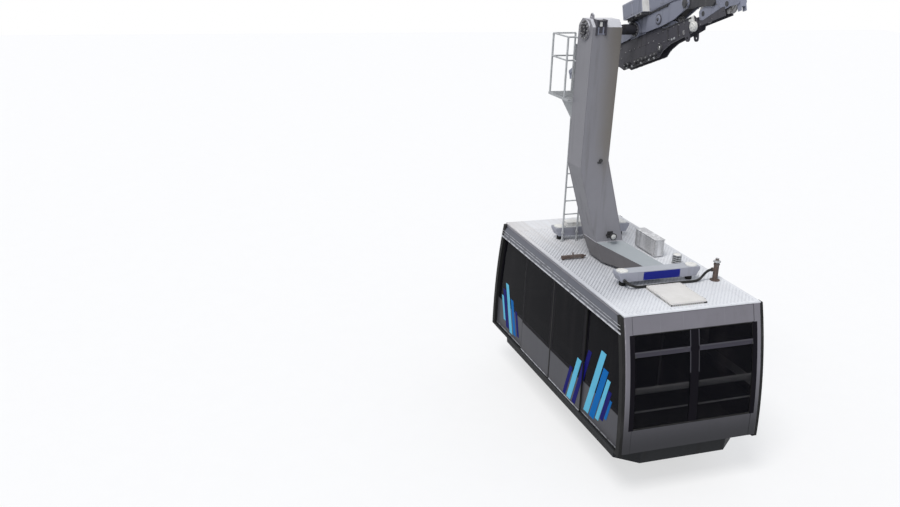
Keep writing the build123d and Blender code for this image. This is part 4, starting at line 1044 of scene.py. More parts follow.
class CABLECAR_OT_stripes(CableCarOperator, bpy.types.Operator):
    """Stick the slanted film stripes on the lower panels and panes"""

    bl_idname = "cablecar.stripes"
    bl_label = "Side stripes"

    # How far a bar leans for each metre of height. Each bar: where its foot starts from the middle of the
    # cabin, its width, the heights of its foot and top, and its colour
    LEAN = 0.34
    NEAR = (
        (0.640, 0.100, -2.215, -1.600, "navy"), (0.800, 0.150, -2.215, -1.330, "light_blue"),
        (1.010, 0.120, -2.215, -1.050, "navy"), (1.400, 0.170, -2.170, -0.860, "light_blue"),
        (1.610, 0.170, -2.170, -1.120, "mid_blue"), (1.830, 0.110, -2.110, -1.250, "light_blue"),
        (1.980, 0.110, -2.040, -1.420, "navy"), (2.130, 0.070, -1.960, -1.560, "mid_blue"))
    FAR = (
        (1.500, 0.100, -2.120, -1.640, "navy"), (1.650, 0.130, -2.160, -1.480, "mid_blue"),
        (1.830, 0.140, -2.190, -1.240, "light_blue"), (2.020, 0.150, -2.150, -1.400, "navy"),
        (2.220, 0.090, -2.040, -1.560, "light_blue"))

    def make(self, settings):
        """The near group is at the uphill end of the right side and at the downhill end of the left side."""
        split = LEAF_W + 0.008
        for side, name, leaf in ((-1, "right", "door_right_uphill"), (1, "left", "door_left_downhill")):
            for colour in ("light_blue", "mid_blue", "navy"):
                near = [bar for bar in self.NEAR if bar[4] == colour]
                far = [bar for bar in self.FAR if bar[4] == colour]
                stem = f"stripes_{colour}_{name}"
                self.bars(stem + "_door", near, side, side, leaf, colour, LEAF_Y, top=split)
                self.bars(stem + "_near_wall", near, side, side, "cabin", colour, WALL_Y, low=split)
                self.bars(stem + "_far_wall", far, side, -side, "cabin", colour, WALL_Y, low=split)

    def bars(self, name, rows, side, end, body, colour, face, low=0.0, top=9.0):
        """Bars on a face of one side, cut off at low and top, which are distances from the cabin's middle."""
        thick = 0.0045 if face == LEAF_Y else 0.0035
        shape = bmesh.new()
        for start, width, foot, head, _ in rows:
            lean = self.LEAN * (head - foot)
            line = [(start, foot), (start + width, foot), (start + width + lean, head), (start + lean, head)]
            kept = clip(clip(line, low, 1), top, -1)
            if len(kept) > 2:
                outline = [(-end * x, ROOF_EDGE + z) for x, z in kept]
                outline_plate(shape, outline, side * (face + 0.0004), side * (face + thick))
        if shape.verts:
            piece(name, shape, body, colour)
        else:
            shape.free()


def clip(line, place, keep):
    """The part of an outline on one side of a place along X: above it for keep 1, and below it for -1."""
    out = []
    for (x0, z0), (x1, z1) in zip(line, line[1:] + line[:1]):
        inside, next_inside = keep * (x0 - place) >= 0, keep * (x1 - place) >= 0
        if inside:
            out.append((x0, z0))
        if inside != next_inside:
            t = (place - x0) / (x1 - x0)
            out.append((place, z0 + (z1 - z0) * t))
    return out


class CABLECAR_OT_ends(CableCarOperator, bpy.types.Operator):
    """Make the end windows' seals, margins, frames and latches, and the seams of the end panels"""

    bl_idname = "cablecar.ends"
    bl_label = "Cabin ends"

    # Width of the windows' side seals, where a pane starts beside the mullion, and the header's top
    SEAL, PANE_Y, HEADER_TOP = 0.026, 0.082, -0.028

    def make(self, settings):
        self.seals()
        self.frames()
        self.seams()
        self.latches()

    def seals(self):
        """The windows' seals, and the panes' printed margins over seals and posts."""
        y, outer, inner = END_INNER_Y, 0.006, 0.030
        shape = bmesh.new()
        end_band(shape, -y, y, SILL, SILL + 0.022, outer, inner)
        end_band(shape, -y, y, HEADER - 0.018, HEADER, outer, inner)
        end_band(shape, -y, -y + self.SEAL, SILL, HEADER, outer, inner)
        end_band(shape, y - self.SEAL, y, SILL, HEADER, outer, inner)
        both_ends(shape)
        piece("end_window_seals", shape, "cabin", "rubber", edge=0.002)
        shape = bmesh.new()
        for side in (-1, 1):
            y0, y1 = sorted((side * (y - 0.028), side * (y + 0.056)))
            end_band(shape, y0, y1, SILL + 0.002, HEADER - 0.002, -0.0015, 0.004)
        both_ends(shape)
        piece("end_pane_margins", shape, "cabin", "border", edge=0.001)

    def frames(self):
        """Beads under the top lights and beside the mullion, and the top lights' lower frames."""
        shape = bmesh.new()
        for side in (-1, 1):
            y0, y1 = sorted((side * self.PANE_Y, side * (END_INNER_Y - self.SEAL)))
            end_band(shape, y0, y1, TRANSOM - 0.010, TRANSOM + 0.008, -0.002, 0.010)
            y0, y1 = sorted((side * 0.072, side * 0.084))
            end_band(shape, y0, y1, TRANSOM, HEADER - 0.018, 0.004, 0.018)
            end_band(shape, y0, y1, TRANSOM - 0.42, TRANSOM - 0.07, 0.006, 0.018)
        both_ends(shape)
        piece("end_window_beads", shape, "cabin", "panel_grey", edge=0.0015)
        shape = bmesh.new()
        for side in (-1, 1):
            y0, y1 = sorted((side * self.PANE_Y, side * (END_INNER_Y - self.SEAL)))
            end_band(shape, y0, y1, TRANSOM - 0.075, TRANSOM - 0.012, 0.000, 0.012)
        both_ends(shape)
        piece("top_light_frames", shape, "cabin", "frame_blue", edge=0.002)

    def seams(self):
        """Gaps round the header and the lower panel, and the joints of the header's sheet."""
        wide, fine, foot = 0.003, 0.0012, self.HEADER_TOP - 0.006
        shape = bmesh.new()
        for side in (-1, 1):
            for low, high in ((HEADER, self.HEADER_TOP), (FOOT, SILL)):
                y0, y1 = sorted((side * (END_INNER_Y - wide), side * (END_INNER_Y + wide)))
                end_band(shape, y0, y1, low + 0.002, high - 0.002, -0.0005, 0.004)
        end_band(shape, -END_INNER_Y, END_INNER_Y, foot, self.HEADER_TOP, -0.0005, 0.006)
        both_ends(shape)
        piece("end_panel_seams", shape, "cabin", "charcoal")
        shape = bmesh.new()
        for y in (-0.620, -0.200, 0.560):
            end_band(shape, y - fine, y + fine, HEADER + 0.004, foot, 0.0024, 0.006)
        both_ends(shape)
        piece("header_joints", shape, "cabin", "mast_grey")

    def latches(self):
        """A latch at the outer end of each top light."""
        shape = bmesh.new()
        for y in (-1.070, 1.070):
            end_band(shape, y - 0.012, y + 0.012, TRANSOM - 0.075, TRANSOM - 0.035, -0.010, 0.008)
        both_ends(shape)
        piece("end_window_latches", shape, "cabin", "lamp_black", edge=0.003)


class CABLECAR_OT_underside(CableCarOperator, bpy.types.Operator):
    """Make the skirt's brackets, and the corner caps and rivets of the door sills"""

    bl_idname = "cablecar.underside"
    bl_label = "Sill and skirt"

    def make(self, settings):
        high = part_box("underframe")[1]
        shape = bmesh.new()
        for x in (-1.40, 0.0, 1.40):
            slab(shape, x - 0.020, x + 0.020, high.y - 0.012, high.y + 0.004, high.z - 0.050, high.z - 0.004)
        both_sides(shape)
        piece("skirt_brackets", shape, "cabin", "charcoal", edge=0.002)
        sill_low, sill_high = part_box("door_sills")
        shape = bmesh.new()
        slab(shape, sill_high.x - 0.001, end_x(0.018, FOOT), WALL_Y - 0.030, sill_high.y, sill_low.z,
             ROOF_EDGE + FOOT + 0.001)
        both_ends(shape)
        both_sides(shape)
        piece("sill_corner_caps", shape, "cabin", "rubber", edge=0.004)
        points = [(x, side * sill_high.y, (sill_low.z + sill_high.z) / 2)
                  for side in (-1, 1) for x in spread(-2.50, 2.50, 0.25)]
        ways = [(0, math.copysign(1, y), 0) for _, y, _ in points]
        rivets("sill_rivets", points, ways, 0.014, "cabin", "charcoal")


class CABLECAR_OT_hanger(CableCarOperator, bpy.types.Operator):
    """Make the hanger's blank plate, welds, mast fittings, lamp and bolts, and the buffers' caps"""

    bl_idname = "cablecar.hanger"
    bl_label = "Hanger"

    def make(self, settings):
        self.plate()
        self.welds()
        self.slot()
        self.fittings()
        self.lamp()
        self.pin_bolts()
        self.caps()

    def plate(self):
        """The blank plate on the uphill crossbar."""
        x = 1.360
        z0, z1 = ROOF_EDGE + 0.098, ROOF_EDGE + 0.238
        shape = bmesh.new()
        slab(shape, x - 0.001, x + 0.004, -0.310, 0.385, z0, z1)
        piece("blank_plate", shape, "cabin", "plate_blue", edge=0.001)
        points = [(x + 0.004, y, z) for y in (-0.295, 0.370) for z in (z0 + 0.015, z1 - 0.015)]
        rivets("blank_plate_rivets", points, (1, 0, 0), 0.009, "cabin", "galvanised")

    def welds(self):
        """Weld beads along the mast's corners and round its foot."""
        corner, round_foot = 0.005, 0.007
        shape = bmesh.new()
        for x in (-MAST_HALF, MAST_HALF):
            for line in (MAST_NEAR, MAST_FAR):
                for (y0, h0), (y1, h1) in zip(line, line[1:]):
                    turned(shape, (x, y0, ROOF_EDGE + h0), (x, y1, ROOF_EDGE + h1), corner, segments=8)
        (near, height), (far, _) = MAST_NEAR[-1], MAST_FAR[-1]
        foot = ROOF_EDGE + height
        for x in (-MAST_HALF, MAST_HALF):
            turned(shape, (x, near, foot), (x, far, foot), round_foot, segments=8)
        for y in (near, far):
            turned(shape, (-MAST_HALF, y, foot), (MAST_HALF, y, foot), round_foot, segments=8)
        piece("mast_welds", shape, "cabin", "mast_grey")

    def slot(self):
        """The fitting in the slot at the mast's top: its frame, latch and cheeks."""
        x, y0, y1 = MAST_HALF, -0.975, -0.825
        z0, z1 = ROOF_EDGE + 4.000, ROOF_EDGE + 4.238
        shape = bmesh.new()
        slab(shape, x - 0.120, x + 0.004, y0, y1, z0, z1 - 0.016)
        for y in (y0 - 0.010, y1 + 0.010):
            slab(shape, x - 0.120, x + 0.026, y - 0.010, y + 0.010, z0 - 0.012, z1)
        slab(shape, x - 0.100, x + 0.030, y0, y1, z1 - 0.024, z1 - 0.008)
        piece("mast_slot_plate", shape, "cabin", "panel_grey", edge=0.001)
        shape = bmesh.new()
        slab(shape, x, x + 0.018, -0.932, -0.888, z1 - 0.108, z1 - 0.034)
        piece("mast_slot_latch", shape, "cabin", "white", edge=0.004)
        shape = bmesh.new()
        for y in (-0.950, -0.862):
            slab(shape, x, x + 0.014, y - 0.010, y + 0.010, z0, z1 - 0.120)
        slab(shape, x, x + 0.010, y0, y1, z0 + 0.004, z0 + 0.018)
        piece("mast_slot_cheeks", shape, "cabin", "carriage", edge=0.002)

    def fittings(self):
        """The mast's socket and the cover of its hand hole."""
        x, z = MAST_HALF, ROOF_EDGE + 1.898
        shape = bmesh.new()
        turned(shape, (x - 0.004, -0.705, z), (x + 0.030, -0.705, z), 0.030, segments=20)
        slab(shape, x, x + 0.012, -0.760, -0.690, z - 0.052, z - 0.022)
        piece("mast_socket", shape, "cabin", "lamp_black", edge=0.003)
        shape = bmesh.new()
        slab(shape, -0.110, 0.110, -1.056, -1.048, ROOF_EDGE + 2.30, ROOF_EDGE + 2.62)
        piece("mast_hand_cover", shape, "cabin", "mast_grey", edge=0.003)

    def lamp(self):
        """The spotlight at the mast's foot: housing, ribbed glass and fork."""
        x, y, z = 0.310, -0.400, ROOF_EDGE + 0.550
        shape = bmesh.new()
        turned(shape, (x, y, z), (x + 0.070, y, z), 0.040, tip=0.060, segments=36)
        turned(shape, (x + 0.070, y, z), (x + 0.086, y, z), 0.064, segments=36)
        piece("lamp_housing", shape, "cabin", "lamp_black", edge=0.003, replaced=["foot_spotlight"])
        shape = bmesh.new()
        turned(shape, (x + 0.084, y, z), (x + 0.094, y, z), 0.048, tip=0.038, segments=36)
        piece("lamp_glass", shape, "cabin", "lens", smooth=60)
        shape = bmesh.new()
        back = MAST_HALF + 0.002
        slab(shape, MAST_HALF, MAST_HALF + 0.006, y - 0.055, y + 0.055, z - 0.060, z + 0.060)
        slab(shape, back, x + 0.040, y - 0.076, y - 0.068, z - 0.018, z + 0.018)
        slab(shape, back, x + 0.040, y + 0.068, y + 0.076, z - 0.018, z + 0.018)
        slab(shape, back, back + 0.010, y - 0.076, y + 0.076, z - 0.018, z + 0.018)
        turned(shape, (x + 0.030, y - 0.082, z), (x + 0.030, y + 0.082, z), 0.010, segments=16)
        piece("lamp_bracket", shape, "cabin", "lamp_black", edge=0.002)

    def pin_bolts(self):
        """Two rings of bolts on the main pin's flange, and the collar beside the carriage."""
        z = PIN_N / math.cos(SLOPE)
        face = MAST_NEAR[0][0] - 0.022
        points = [(x, face, zz) for x, zz in circle((0, z), 0.135, 12)]
        bolts("pin_flange_bolts", points, (0, -1, 0), 0.034, "cabin")
        shape = bmesh.new()
        turned(shape, (0, -0.521, z), (0, -0.492, z), 0.118, tip=0.112, segments=40)
        piece("pin_collar", shape, "cabin", "dark", edge=0.003)
        points = [(x, face - 0.028, zz) for x, zz in circle((0, z), 0.060, 6)]
        bolts("pin_end_bolts", points, (0, -1, 0), 0.022, "cabin")

    def caps(self):
        """Domes and screws of the caps over the buffers."""
        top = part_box("buffer_caps")[1].z
        middles = [(x, y) for x in (-1.245, 1.245) for y in (-0.660, 0.660)]
        shape = bmesh.new()
        for x, y in middles:
            turned(shape, (x, y, top - 0.0005), (x, y, top + 0.008), 0.078, tip=0.050, segments=40)
        piece("cap_domes", shape, "cabin", "white", edge=0.002)
        points = [(x + a, y + b, top) for x, y in middles for a, b in circle((0, 0), 0.088, 6)]
        rivets("cap_screws", points, (0, 0, 1), 0.010, "cabin", "galvanised")


class CABLECAR_OT_ladder(CableCarOperator, bpy.types.Operator):
    """Make the platform's grating and the ladder's clamps"""

    bl_idname = "cablecar.ladder"
    bl_label = "Ladder and platform"

    def make(self, settings):
        deck, half = ROOF_EDGE + 2.860, 0.002
        shape = bmesh.new()
        for x in spread(-1.030, -0.270, 0.034):
            slab(shape, x - half, x + half, -1.155, -0.335, deck - 0.002, deck + 0.006)
        for y in spread(-1.150, -0.340, 0.10):
            slab(shape, -1.045, -0.255, y - half, y + half, deck - 0.002, deck + 0.004)
        piece("deck_grating", shape, "cabin", "galvanised")
        shape = bmesh.new()
        wide, high = 0.024, 0.018
        for y in (-0.662, -0.368):
            for h in (0.02, 0.17, 2.82):
                z = ROOF_EDGE + h
                slab(shape, -1.104, -1.056, y - wide, y + wide, z - high, z + high)
        piece("ladder_clamps", shape, "cabin", "galvanised", edge=0.003)


class CABLECAR_OT_roof_fittings(CableCarOperator, bpy.types.Operator):
    """Dress the cabinet, the post, the hose, the roof's instrument and the crossbar's box"""

    bl_idname = "cablecar.roof_fittings"
    bl_label = "Roof fittings"

    def make(self, settings):
        self.cabinet()
        self.post()
        self.hose()
        self.instrument()
        self.box()

    def cabinet(self):
        """The cabinet's overhanging lid, and the frame and hinges of its door."""
        low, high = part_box("equipment_box")
        lip, face = 0.010, low.y
        shape = bmesh.new()
        slab(shape, low.x - lip, high.x + lip, low.y - lip, high.y + lip, high.z - 0.004, high.z + 0.010)
        piece("cabinet_lid", shape, "cabin", "cabinet", edge=0.003)
        shape = bmesh.new()
        outer, inner = (
            [(low.x + inset, foot), (high.x - inset, foot), (high.x - inset, high.z - inset),
             (low.x + inset, high.z - inset)]
            for inset, foot in ((0.03, ROOF_EDGE + 0.05), (0.05, ROOF_EDGE + 0.07)))
        ring(shape, outer, inner, face - 0.006, face + 0.001)
        for x in (low.x + 0.16, high.x - 0.16):
            slab(shape, x - 0.022, x + 0.022, face - 0.010, face + 0.001, high.z - 0.075, high.z - 0.035)
        piece("cabinet_door_frame", shape, "cabin", "cabinet", edge=0.0015)

    def post(self):
        """The rusty post's cap, the nut of its socket, its collar and the bolts of its foot."""
        low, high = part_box("roof_post")
        x, y = high.x - 0.085, high.y - 0.085
        top = ROOF_EDGE + 0.330
        shape = bmesh.new()
        turned(shape, (x, y, top), (x, y, top + 0.0205), 0.0645, segments=32)
        turned(shape, (x, y, top + 0.020), (x, y, top + 0.066), 0.032, tip=0.024, segments=32)
        piece("post_cap", shape, "cabin", "galvanised", edge=0.003)
        shape = bmesh.new()
        z = ROOF_EDGE + 0.200
        turned(shape, (x, low.y, z), (x, low.y + 0.022, z), 0.040, segments=6)
        turned(shape, (x, y, top - 0.050), (x, y, top - 0.030), 0.053, segments=32)
        piece("post_nut", shape, "cabin", "rust", edge=0.002)
        points = [(x + a, y + b, ROOF_EDGE + 0.012) for a, b in circle((0, 0), 0.068, 6)]
        bolts("post_flange_bolts", points, (0, 0, 1), 0.012, "cabin", "rust")

    def hose(self):
        """The hose from the crossbar's gland, over the roof and up to the post, on its real route."""
        places = [(1.3803, -0.665, 0.116), (1.425, -0.665, 0.116), (1.464, -0.642, 0.098), (1.480, -0.592, 0.070),
                  (1.477, -0.518, 0.040), (1.463, -0.410, 0.024), (1.449, -0.235, 0.0223), (1.437, 0.060, 0.0223),
                  (1.431, 0.350, 0.0223), (1.438, 0.530, 0.0223), (1.440, 0.650, 0.023), (1.428, 0.735, 0.038),
                  (1.416, 0.790, 0.076), (1.415, 0.832, 0.126), (1.424, 0.876, 0.174), (1.430, 0.930, 0.200),
                  (1.430, 0.9847, 0.200)]
        curve = bpy.data.curves.new("roof_hose_cord", "CURVE")
        curve.dimensions = "3D"
        line = curve.splines.new("NURBS")
        line.points.add(len(places) - 1)
        for point, (x, y, z) in zip(line.points, places):
            point.co = (x, y, ROOF_EDGE + z, 1)
        line.order_u = 3
        line.use_endpoint_u = True
        curve.bevel_depth = 0.022
        curve.bevel_resolution = 6
        curve.resolution_u = 16
        curve.use_fill_caps = True
        curve.materials.append(MATERIALS["hose"])
        made = bpy.data.objects.new("roof_hose_cord", curve)
        bpy.context.scene.collection.objects.link(made)
        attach(made, "cabin")
        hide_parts("roof_hose")
        x, y, z = places[0]
        shape = bmesh.new()
        turned(shape, (x - 0.022, y, ROOF_EDGE + z), (x - 0.004, y, ROOF_EDGE + z), 0.036, segments=6)
        turned(shape, (x - 0.004, y, ROOF_EDGE + z), (x + 0.034, y, ROOF_EDGE + z), 0.029, tip=0.0245, segments=24)
        piece("hose_gland", shape, "cabin", "rubber", edge=0.002)

    def instrument(self):
        """Dark sleeves between the drum's rings, and its pale lid."""
        low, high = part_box("roof_sensor")
        middle = (low + high) / 2
        x, y = middle.x, middle.y
        rings, foot, thick = 4, 0.012, 0.016
        step = (high.z - low.z - foot) / rings
        shape = bmesh.new()
        for k in range(rings):
            z = low.z + foot + k * step
            turned(shape, (x, y, z + 0.0005), (x, y, z + step - thick - 0.0005), 0.0615, segments=36)
        piece("drum_sleeves", shape, "cabin", "lamp_black")
        shape = bmesh.new()
        turned(shape, (x, y, high.z - 0.001), (x, y, high.z + 0.010), 0.070, tip=0.050, segments=36)
        piece("drum_lid", shape, "cabin", "white", edge=0.002)

    def box(self):
        """The lid of the crossbar's box and its four screws."""
        low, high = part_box("crossbar_box")
        lip, inset, top = 0.006, 0.02, high.z + 0.004
        shape = bmesh.new()
        slab(shape, low.x - lip, high.x + lip, low.y - lip, high.y + lip, high.z - 0.016, top)
        piece("crossbar_box_lid", shape, "cabin", "white", edge=0.004)
        points = [(x, y, top) for x in (low.x + inset, high.x - inset) for y in (low.y + inset, high.y - inset)]
        rivets("crossbar_box_screws", points, (0, 0, 1), 0.010, "cabin", "galvanised")


def swell(made, cap, voxel=0.006, pressure=4.0, stiffness=25, frames=20):
    """Blow a closed form up as cloth under pressure, no point further than cap, and keep the result."""
    scene = bpy.context.scene
    work = bpy.data.objects.new("swelling", made.data.copy())
    scene.collection.objects.link(work)
    remesh = work.modifiers.new("Voxels", "REMESH")
    remesh.mode = "VOXEL"
    remesh.voxel_size = voxel
    graph = bpy.context.evaluated_depsgraph_get()
    work.data = bpy.data.meshes.new_from_object(work.evaluated_get(graph))
    work.modifiers.clear()
    cloth = work.modifiers.new("Cover", "CLOTH")
    cloth.settings.use_pressure = True
    cloth.settings.uniform_pressure_force = pressure
    cloth.settings.effector_weights.gravity = 0
    cloth.settings.tension_stiffness = stiffness
    cloth.settings.compression_stiffness = stiffness
    cloth.point_cache.frame_start = 1
    cloth.point_cache.frame_end = frames
    for number in range(1, frames + 1):
        scene.frame_set(number)
    graph = bpy.context.evaluated_depsgraph_get()
    blown = bpy.data.meshes.new_from_object(work.evaluated_get(graph))
    for vertex, start in zip(blown.vertices, work.data.vertices):
        away = vertex.co - start.co
        if away.length > cap:
            vertex.co = start.co + away * (cap / away.length)
    scene.frame_set(1)
    blown.materials.append(made.data.materials[0])
    made.data = blown
    blown.shade_smooth()
    bpy.data.objects.remove(work)


def channel(made, middle, reach, inset, deep=0.006):
    """Press the sewn channels in: one along the middle of the face and one at every sixth of the length."""
    for vertex in made.data.vertices:
        x, y, z = vertex.co
        place = 3 * y / reach
        across = abs(place - round(place)) * reach / 3
        along = abs(z - ROOF_EDGE - middle)
        near = max(math.exp(-(across / 0.010) ** 2) if abs(y) < reach * 0.9 else 0.0,
                   0.8 * math.exp(-(along / 0.008) ** 2))
        if abs(x) < end_x(inset, z - ROOF_EDGE):
            vertex.co.x = x + math.copysign(deep * near, x)
    made.data.update()


class CABLECAR_OT_inside(CableCarOperator, bpy.types.Operator):
    """Pad the boards across the ends and fit the handrails' brackets"""

    bl_idname = "cablecar.inside"
    bl_label = "Inside"

    def make(self, settings):
        self.pads()
        self.brackets()

    def pads(self):
        """Boards across both ends: foam under a stretched cover, drawn in by sewn channels."""
        half, thick, reach, middle, inset = 0.061, 0.017, 1.192, -1.245, 0.083
        rows, columns = 20, 120
        for end, name in ((1, "uphill"), (-1, "downhill")):
            shape = bmesh.new()
            levels = []
            for i in range(columns + 1):
                u = 2 * i / columns - 1
                pull = 1 - max(0.0, (abs(u) - 0.97) / 0.03) ** 2 * 0.30
                level = []
                for j in range(rows):
                    angle = 2 * math.pi * j / rows
                    depth = math.copysign(abs(math.cos(angle)) ** 0.6, math.cos(angle)) * thick * pull
                    rise = math.copysign(abs(math.sin(angle)) ** 0.55, math.sin(angle)) * half * pull
                    x = end * end_x(inset, middle + rise) - depth
                    level.append(shape.verts.new((x, reach * u, ROOF_EDGE + middle + rise)))
                levels.append(level)
            faces = [shape.faces.new(levels[0]), shape.faces.new(list(reversed(levels[-1])))]
            for a, b in zip(levels, levels[1:]):
                faces += [shape.faces.new((a[j], a[(j + 1) % rows], b[(j + 1) % rows], b[j])) for j in range(rows)]
            bmesh.ops.recalc_face_normals(shape, faces=faces)
            made = piece(f"leaning_pad_{name}", shape, "cabin", "pad", smooth=70, replaced=["leaning_pads"])
            swell(made, 0.006)
            channel(made, middle, reach, inset)

    def brackets(self):
        """Flanges of the end rails, and of the four poles at floor and ceiling."""
        height, thick = -1.600, 0.014
        x, z = end_x(0.095, height), ROOF_EDGE + height
        shape = bmesh.new()
        for y in (-1.190, 1.190, 0.0):
            turned(shape, (x, y - 0.010, z), (x, y + 0.010, z), 0.028, segments=24)
        both_ends(shape)
        for x in (-0.9, 0.9):
            for y in (-0.5, 0.5):
                for h, way in ((-2.220, 1), (-0.070, -1)):
                    z = ROOF_EDGE + h
                    turned(shape, (x, y, z), (x, y, z + way * thick), 0.046, tip=0.038, segments=28)
        piece("handrail_flanges", shape, "cabin", "stainless", edge=0.002)


# Both faces of the carriage are alike, so its fittings are given by how far out they are, S and N
def bosses(shape, places, y0, y1, radius, tip=None, segments=24):
    """The same round boss on both faces, at places given as S and N."""
    for side in (-1, 1):
        for s, n in places:
            turned(shape, (s, side * y0, n), (s, side * y1, n), radius, tip=tip, segments=segments)


def face_slabs(shape, spans, y0, y1, n0, n1):
    """The same blocks on both faces, at spans along S."""
    for side in (-1, 1):
        for s0, s1 in spans:
            slab(shape, s0, s1, side * y0, side * y1, n0, n1)


def face_bolts(name, rows, size, body="carriage"):
    """Bolts on both faces: rows of how far out they are and their places."""
    points = [(s, side * y, n) for side in (-1, 1) for y, places in rows for s, n in places]
    ways = [(0, math.copysign(1, y), 0) for _, y, _ in points]
    bolts(name, points, ways, size, body, matrix=RISE)


class CABLECAR_OT_carriage(CableCarOperator, bpy.types.Operator):
    """Make the carriage's pin caps, bearings, guards, doors, ribs, rollers, bolts, pipes and valves"""

    bl_idname = "cablecar.carriage"
    bl_label = "Carriage"

    # Doors of the power unit and of the cover: their spans along the carriage and how far out they are
    DOORS = ((((-0.170, 0.120), (0.140, 0.430)), 0.2425), (((0.475, 0.840), (0.860, 1.230)), 0.1125))
    PANEL_Y = 0.078

    def make(self, settings):
        size = settings.bolt_size
        self.wheels(size)
        self.pivots()
        self.pivot_bolts(size)
        self.guards(size)
        self.covers(size)
        self.lower_frame()
        self.rollers()
        self.panel_bolts(size)
        self.sensor()
        self.pipes()
        self.valves()

    def wheels(self, size):
        """A ring of bolts on both faces of each wheel."""
        for k, s in enumerate(WHEEL_S):
            row = (0.042, circle((s, WHEEL_N), 0.098, 8))
            face_bolts(f"wheel_bolts_{k + 1}", [row], 0.55 * size, f"wheel_{k + 1}")

    def pivots(self):
        """Caps of the wheels', rockers' and bogies' pins, and the layers of the two big bearings."""
        main, cover = [(0, PIN_N)], [COVER_PIN]
        shape = bmesh.new()
        bosses(shape, [(s, WHEEL_N) for s in WHEEL_S], 0.063, 0.071, 0.040, 0.036, 28)
        bosses(shape, [(s, ROCKER_N) for s in ROCKER_S], 0.087, 0.096, 0.044, 0.040, 28)
        bosses(shape, [(s, BOGIE_N) for s in BOGIE_S], 0.122, 0.134, 0.062, 0.056, 32)
        piece("pin_caps", shape, "carriage", "dark", matrix=RISE, edge=0.002)
        shape = bmesh.new()
        bosses(shape, main, 0.109, 0.134, 0.138, segments=48)
        bosses(shape, cover, 0.119, 0.130, 0.066, 0.060, 40)
        piece("bearing_flanges", shape, "carriage", "carriage", matrix=RISE, edge=0.003)
        shape = bmesh.new()
        bosses(shape, main, 0.133, 0.148, 0.116, 0.110, 48)
        bosses(shape, cover, 0.109, 0.120, 0.084, segments=40)
        piece("bearing_rings", shape, "carriage", "panel_grey", matrix=RISE, edge=0.003)
        shape = bmesh.new()
        bosses(shape, main, 0.147, 0.156, 0.078, 0.072, 40)
        bosses(shape, cover, 0.129, 0.142, 0.030, 0.026, 6)
        piece("bearing_seals", shape, "carriage", "dark", matrix=RISE, edge=0.002)

    def pivot_bolts(self, size):
        """Rings of bolts round the bogies' pins and the main pin, and pairs under the rockers' pins."""
        rings = [place for s in BOGIE_S for place in circle((s, BOGIE_N), 0.074, 8)]
        face_bolts("main_plate_bolts", [(0.110, rings), (0.148, circle((0.0, PIN_N), 0.096, 12))], 0.9 * size)
        pairs = [(s + away, ROCKER_N - 0.040) for s in ROCKER_S for away in (-0.065, 0.065)]
        face_bolts("rocker_bolts", [(0.060, pairs)], size)

    def guards(self, size):
        """Pale cover plates on the outer wheel rockers, and the guards under them, darkened as painted shade."""
        pale = [(1.775, 0.070), (1.775, 0.190), (1.80, 0.205), (2.08, 0.272), (2.245, 0.272), (2.30, 0.230),
                (2.370, 0.122), (1.860, 0.046)]
        dark = [(1.750, -0.018), (1.750, 0.066), (1.862, 0.042), (2.372, 0.118), (2.420, 0.118), (2.440, -0.018)]
        inner, outer = 0.0595, 0.0652
        for name, points, finish in (("rocker_covers", pale, "carriage"), ("wheel_guards", dark, "panel_grey")):
            shape = bmesh.new()
            for end in (-1, 1):
                for side in (-1, 1):
                    outline_plate(shape, [(end * s, n) for s, n in points], *sorted((side * inner, side * outer)))
            piece(name, shape, "carriage", finish, matrix=RISE, edge=0.0015)
        places = ((1.80, 0.09), (1.80, 0.17), (2.02, 0.24), (2.30, 0.14), (1.80, 0.0), (2.10, 0.02), (2.38, 0.06))
        face_bolts("guard_bolts", [(outer, [(end * s, n) for end in (-1, 1) for s, n in places])], 0.65 * size)

    def covers(self, size):
        """The power unit's front, its white a painted reflection of a bright metal face, and the doors of the unit and
        of the cover with their bolts.
        """
        shape = bmesh.new()
        # Painted reflection: the front is given white paint to show as bright as its metal face
        slab(shape, 0.4495, 0.4520, -0.236, 0.236, 0.516, 0.764)
        piece("power_unit_front", shape, "carriage", "white", matrix=RISE, edge=0.001)
        (unit, unit_y), (cover, cover_y) = self.DOORS
        shape = bmesh.new()
        face_slabs(shape, unit, unit_y - 0.003, unit_y, 0.530, 0.750)
        face_slabs(shape, cover, cover_y - 0.003, cover_y, 0.528, 0.732)
        piece("cover_doors", shape, "carriage", "carriage", matrix=RISE, edge=0.0015)
        rows = [(y, [(s, n) for s0, s1 in doors for s in (s0 + 0.02, s1 - 0.02) for n in (0.55, high)])
                for doors, y, high in ((unit, unit_y, 0.73), (cover, cover_y, 0.71))]
        face_bolts("cover_door_bolts", rows, 0.6 * size)

    def lower_frame(self):
        """Stiffening ribs and small fittings of the lower side plates."""
        rib, block = 0.006, 0.020
        shape = bmesh.new()
        face_slabs(shape, [(s - rib, s + rib) for s in (-1.20, -0.90, 0.90, 1.20)], self.PANEL_Y, 0.090, -0.060, 0.150)
        face_slabs(shape, ((-1.62, -0.74), (0.74, 1.62)), self.PANEL_Y, 0.090, 0.145, 0.157)
        piece("panel_ribs", shape, "carriage", "dark", matrix=RISE, edge=0.0015)
        shape = bmesh.new()
        blocks = [(s - block, s + block) for s in (-0.44, -0.26, 0.04, 0.30, 0.46)]
        face_slabs(shape, blocks, self.PANEL_Y, 0.104, -0.252, -0.224)
        bosses(shape, ((1.02, -0.060), (1.09, -0.060)), self.PANEL_Y, 0.098, 0.016, segments=16)
        piece("panel_fittings", shape, "carriage", "galvanised", matrix=RISE, edge=0.002)

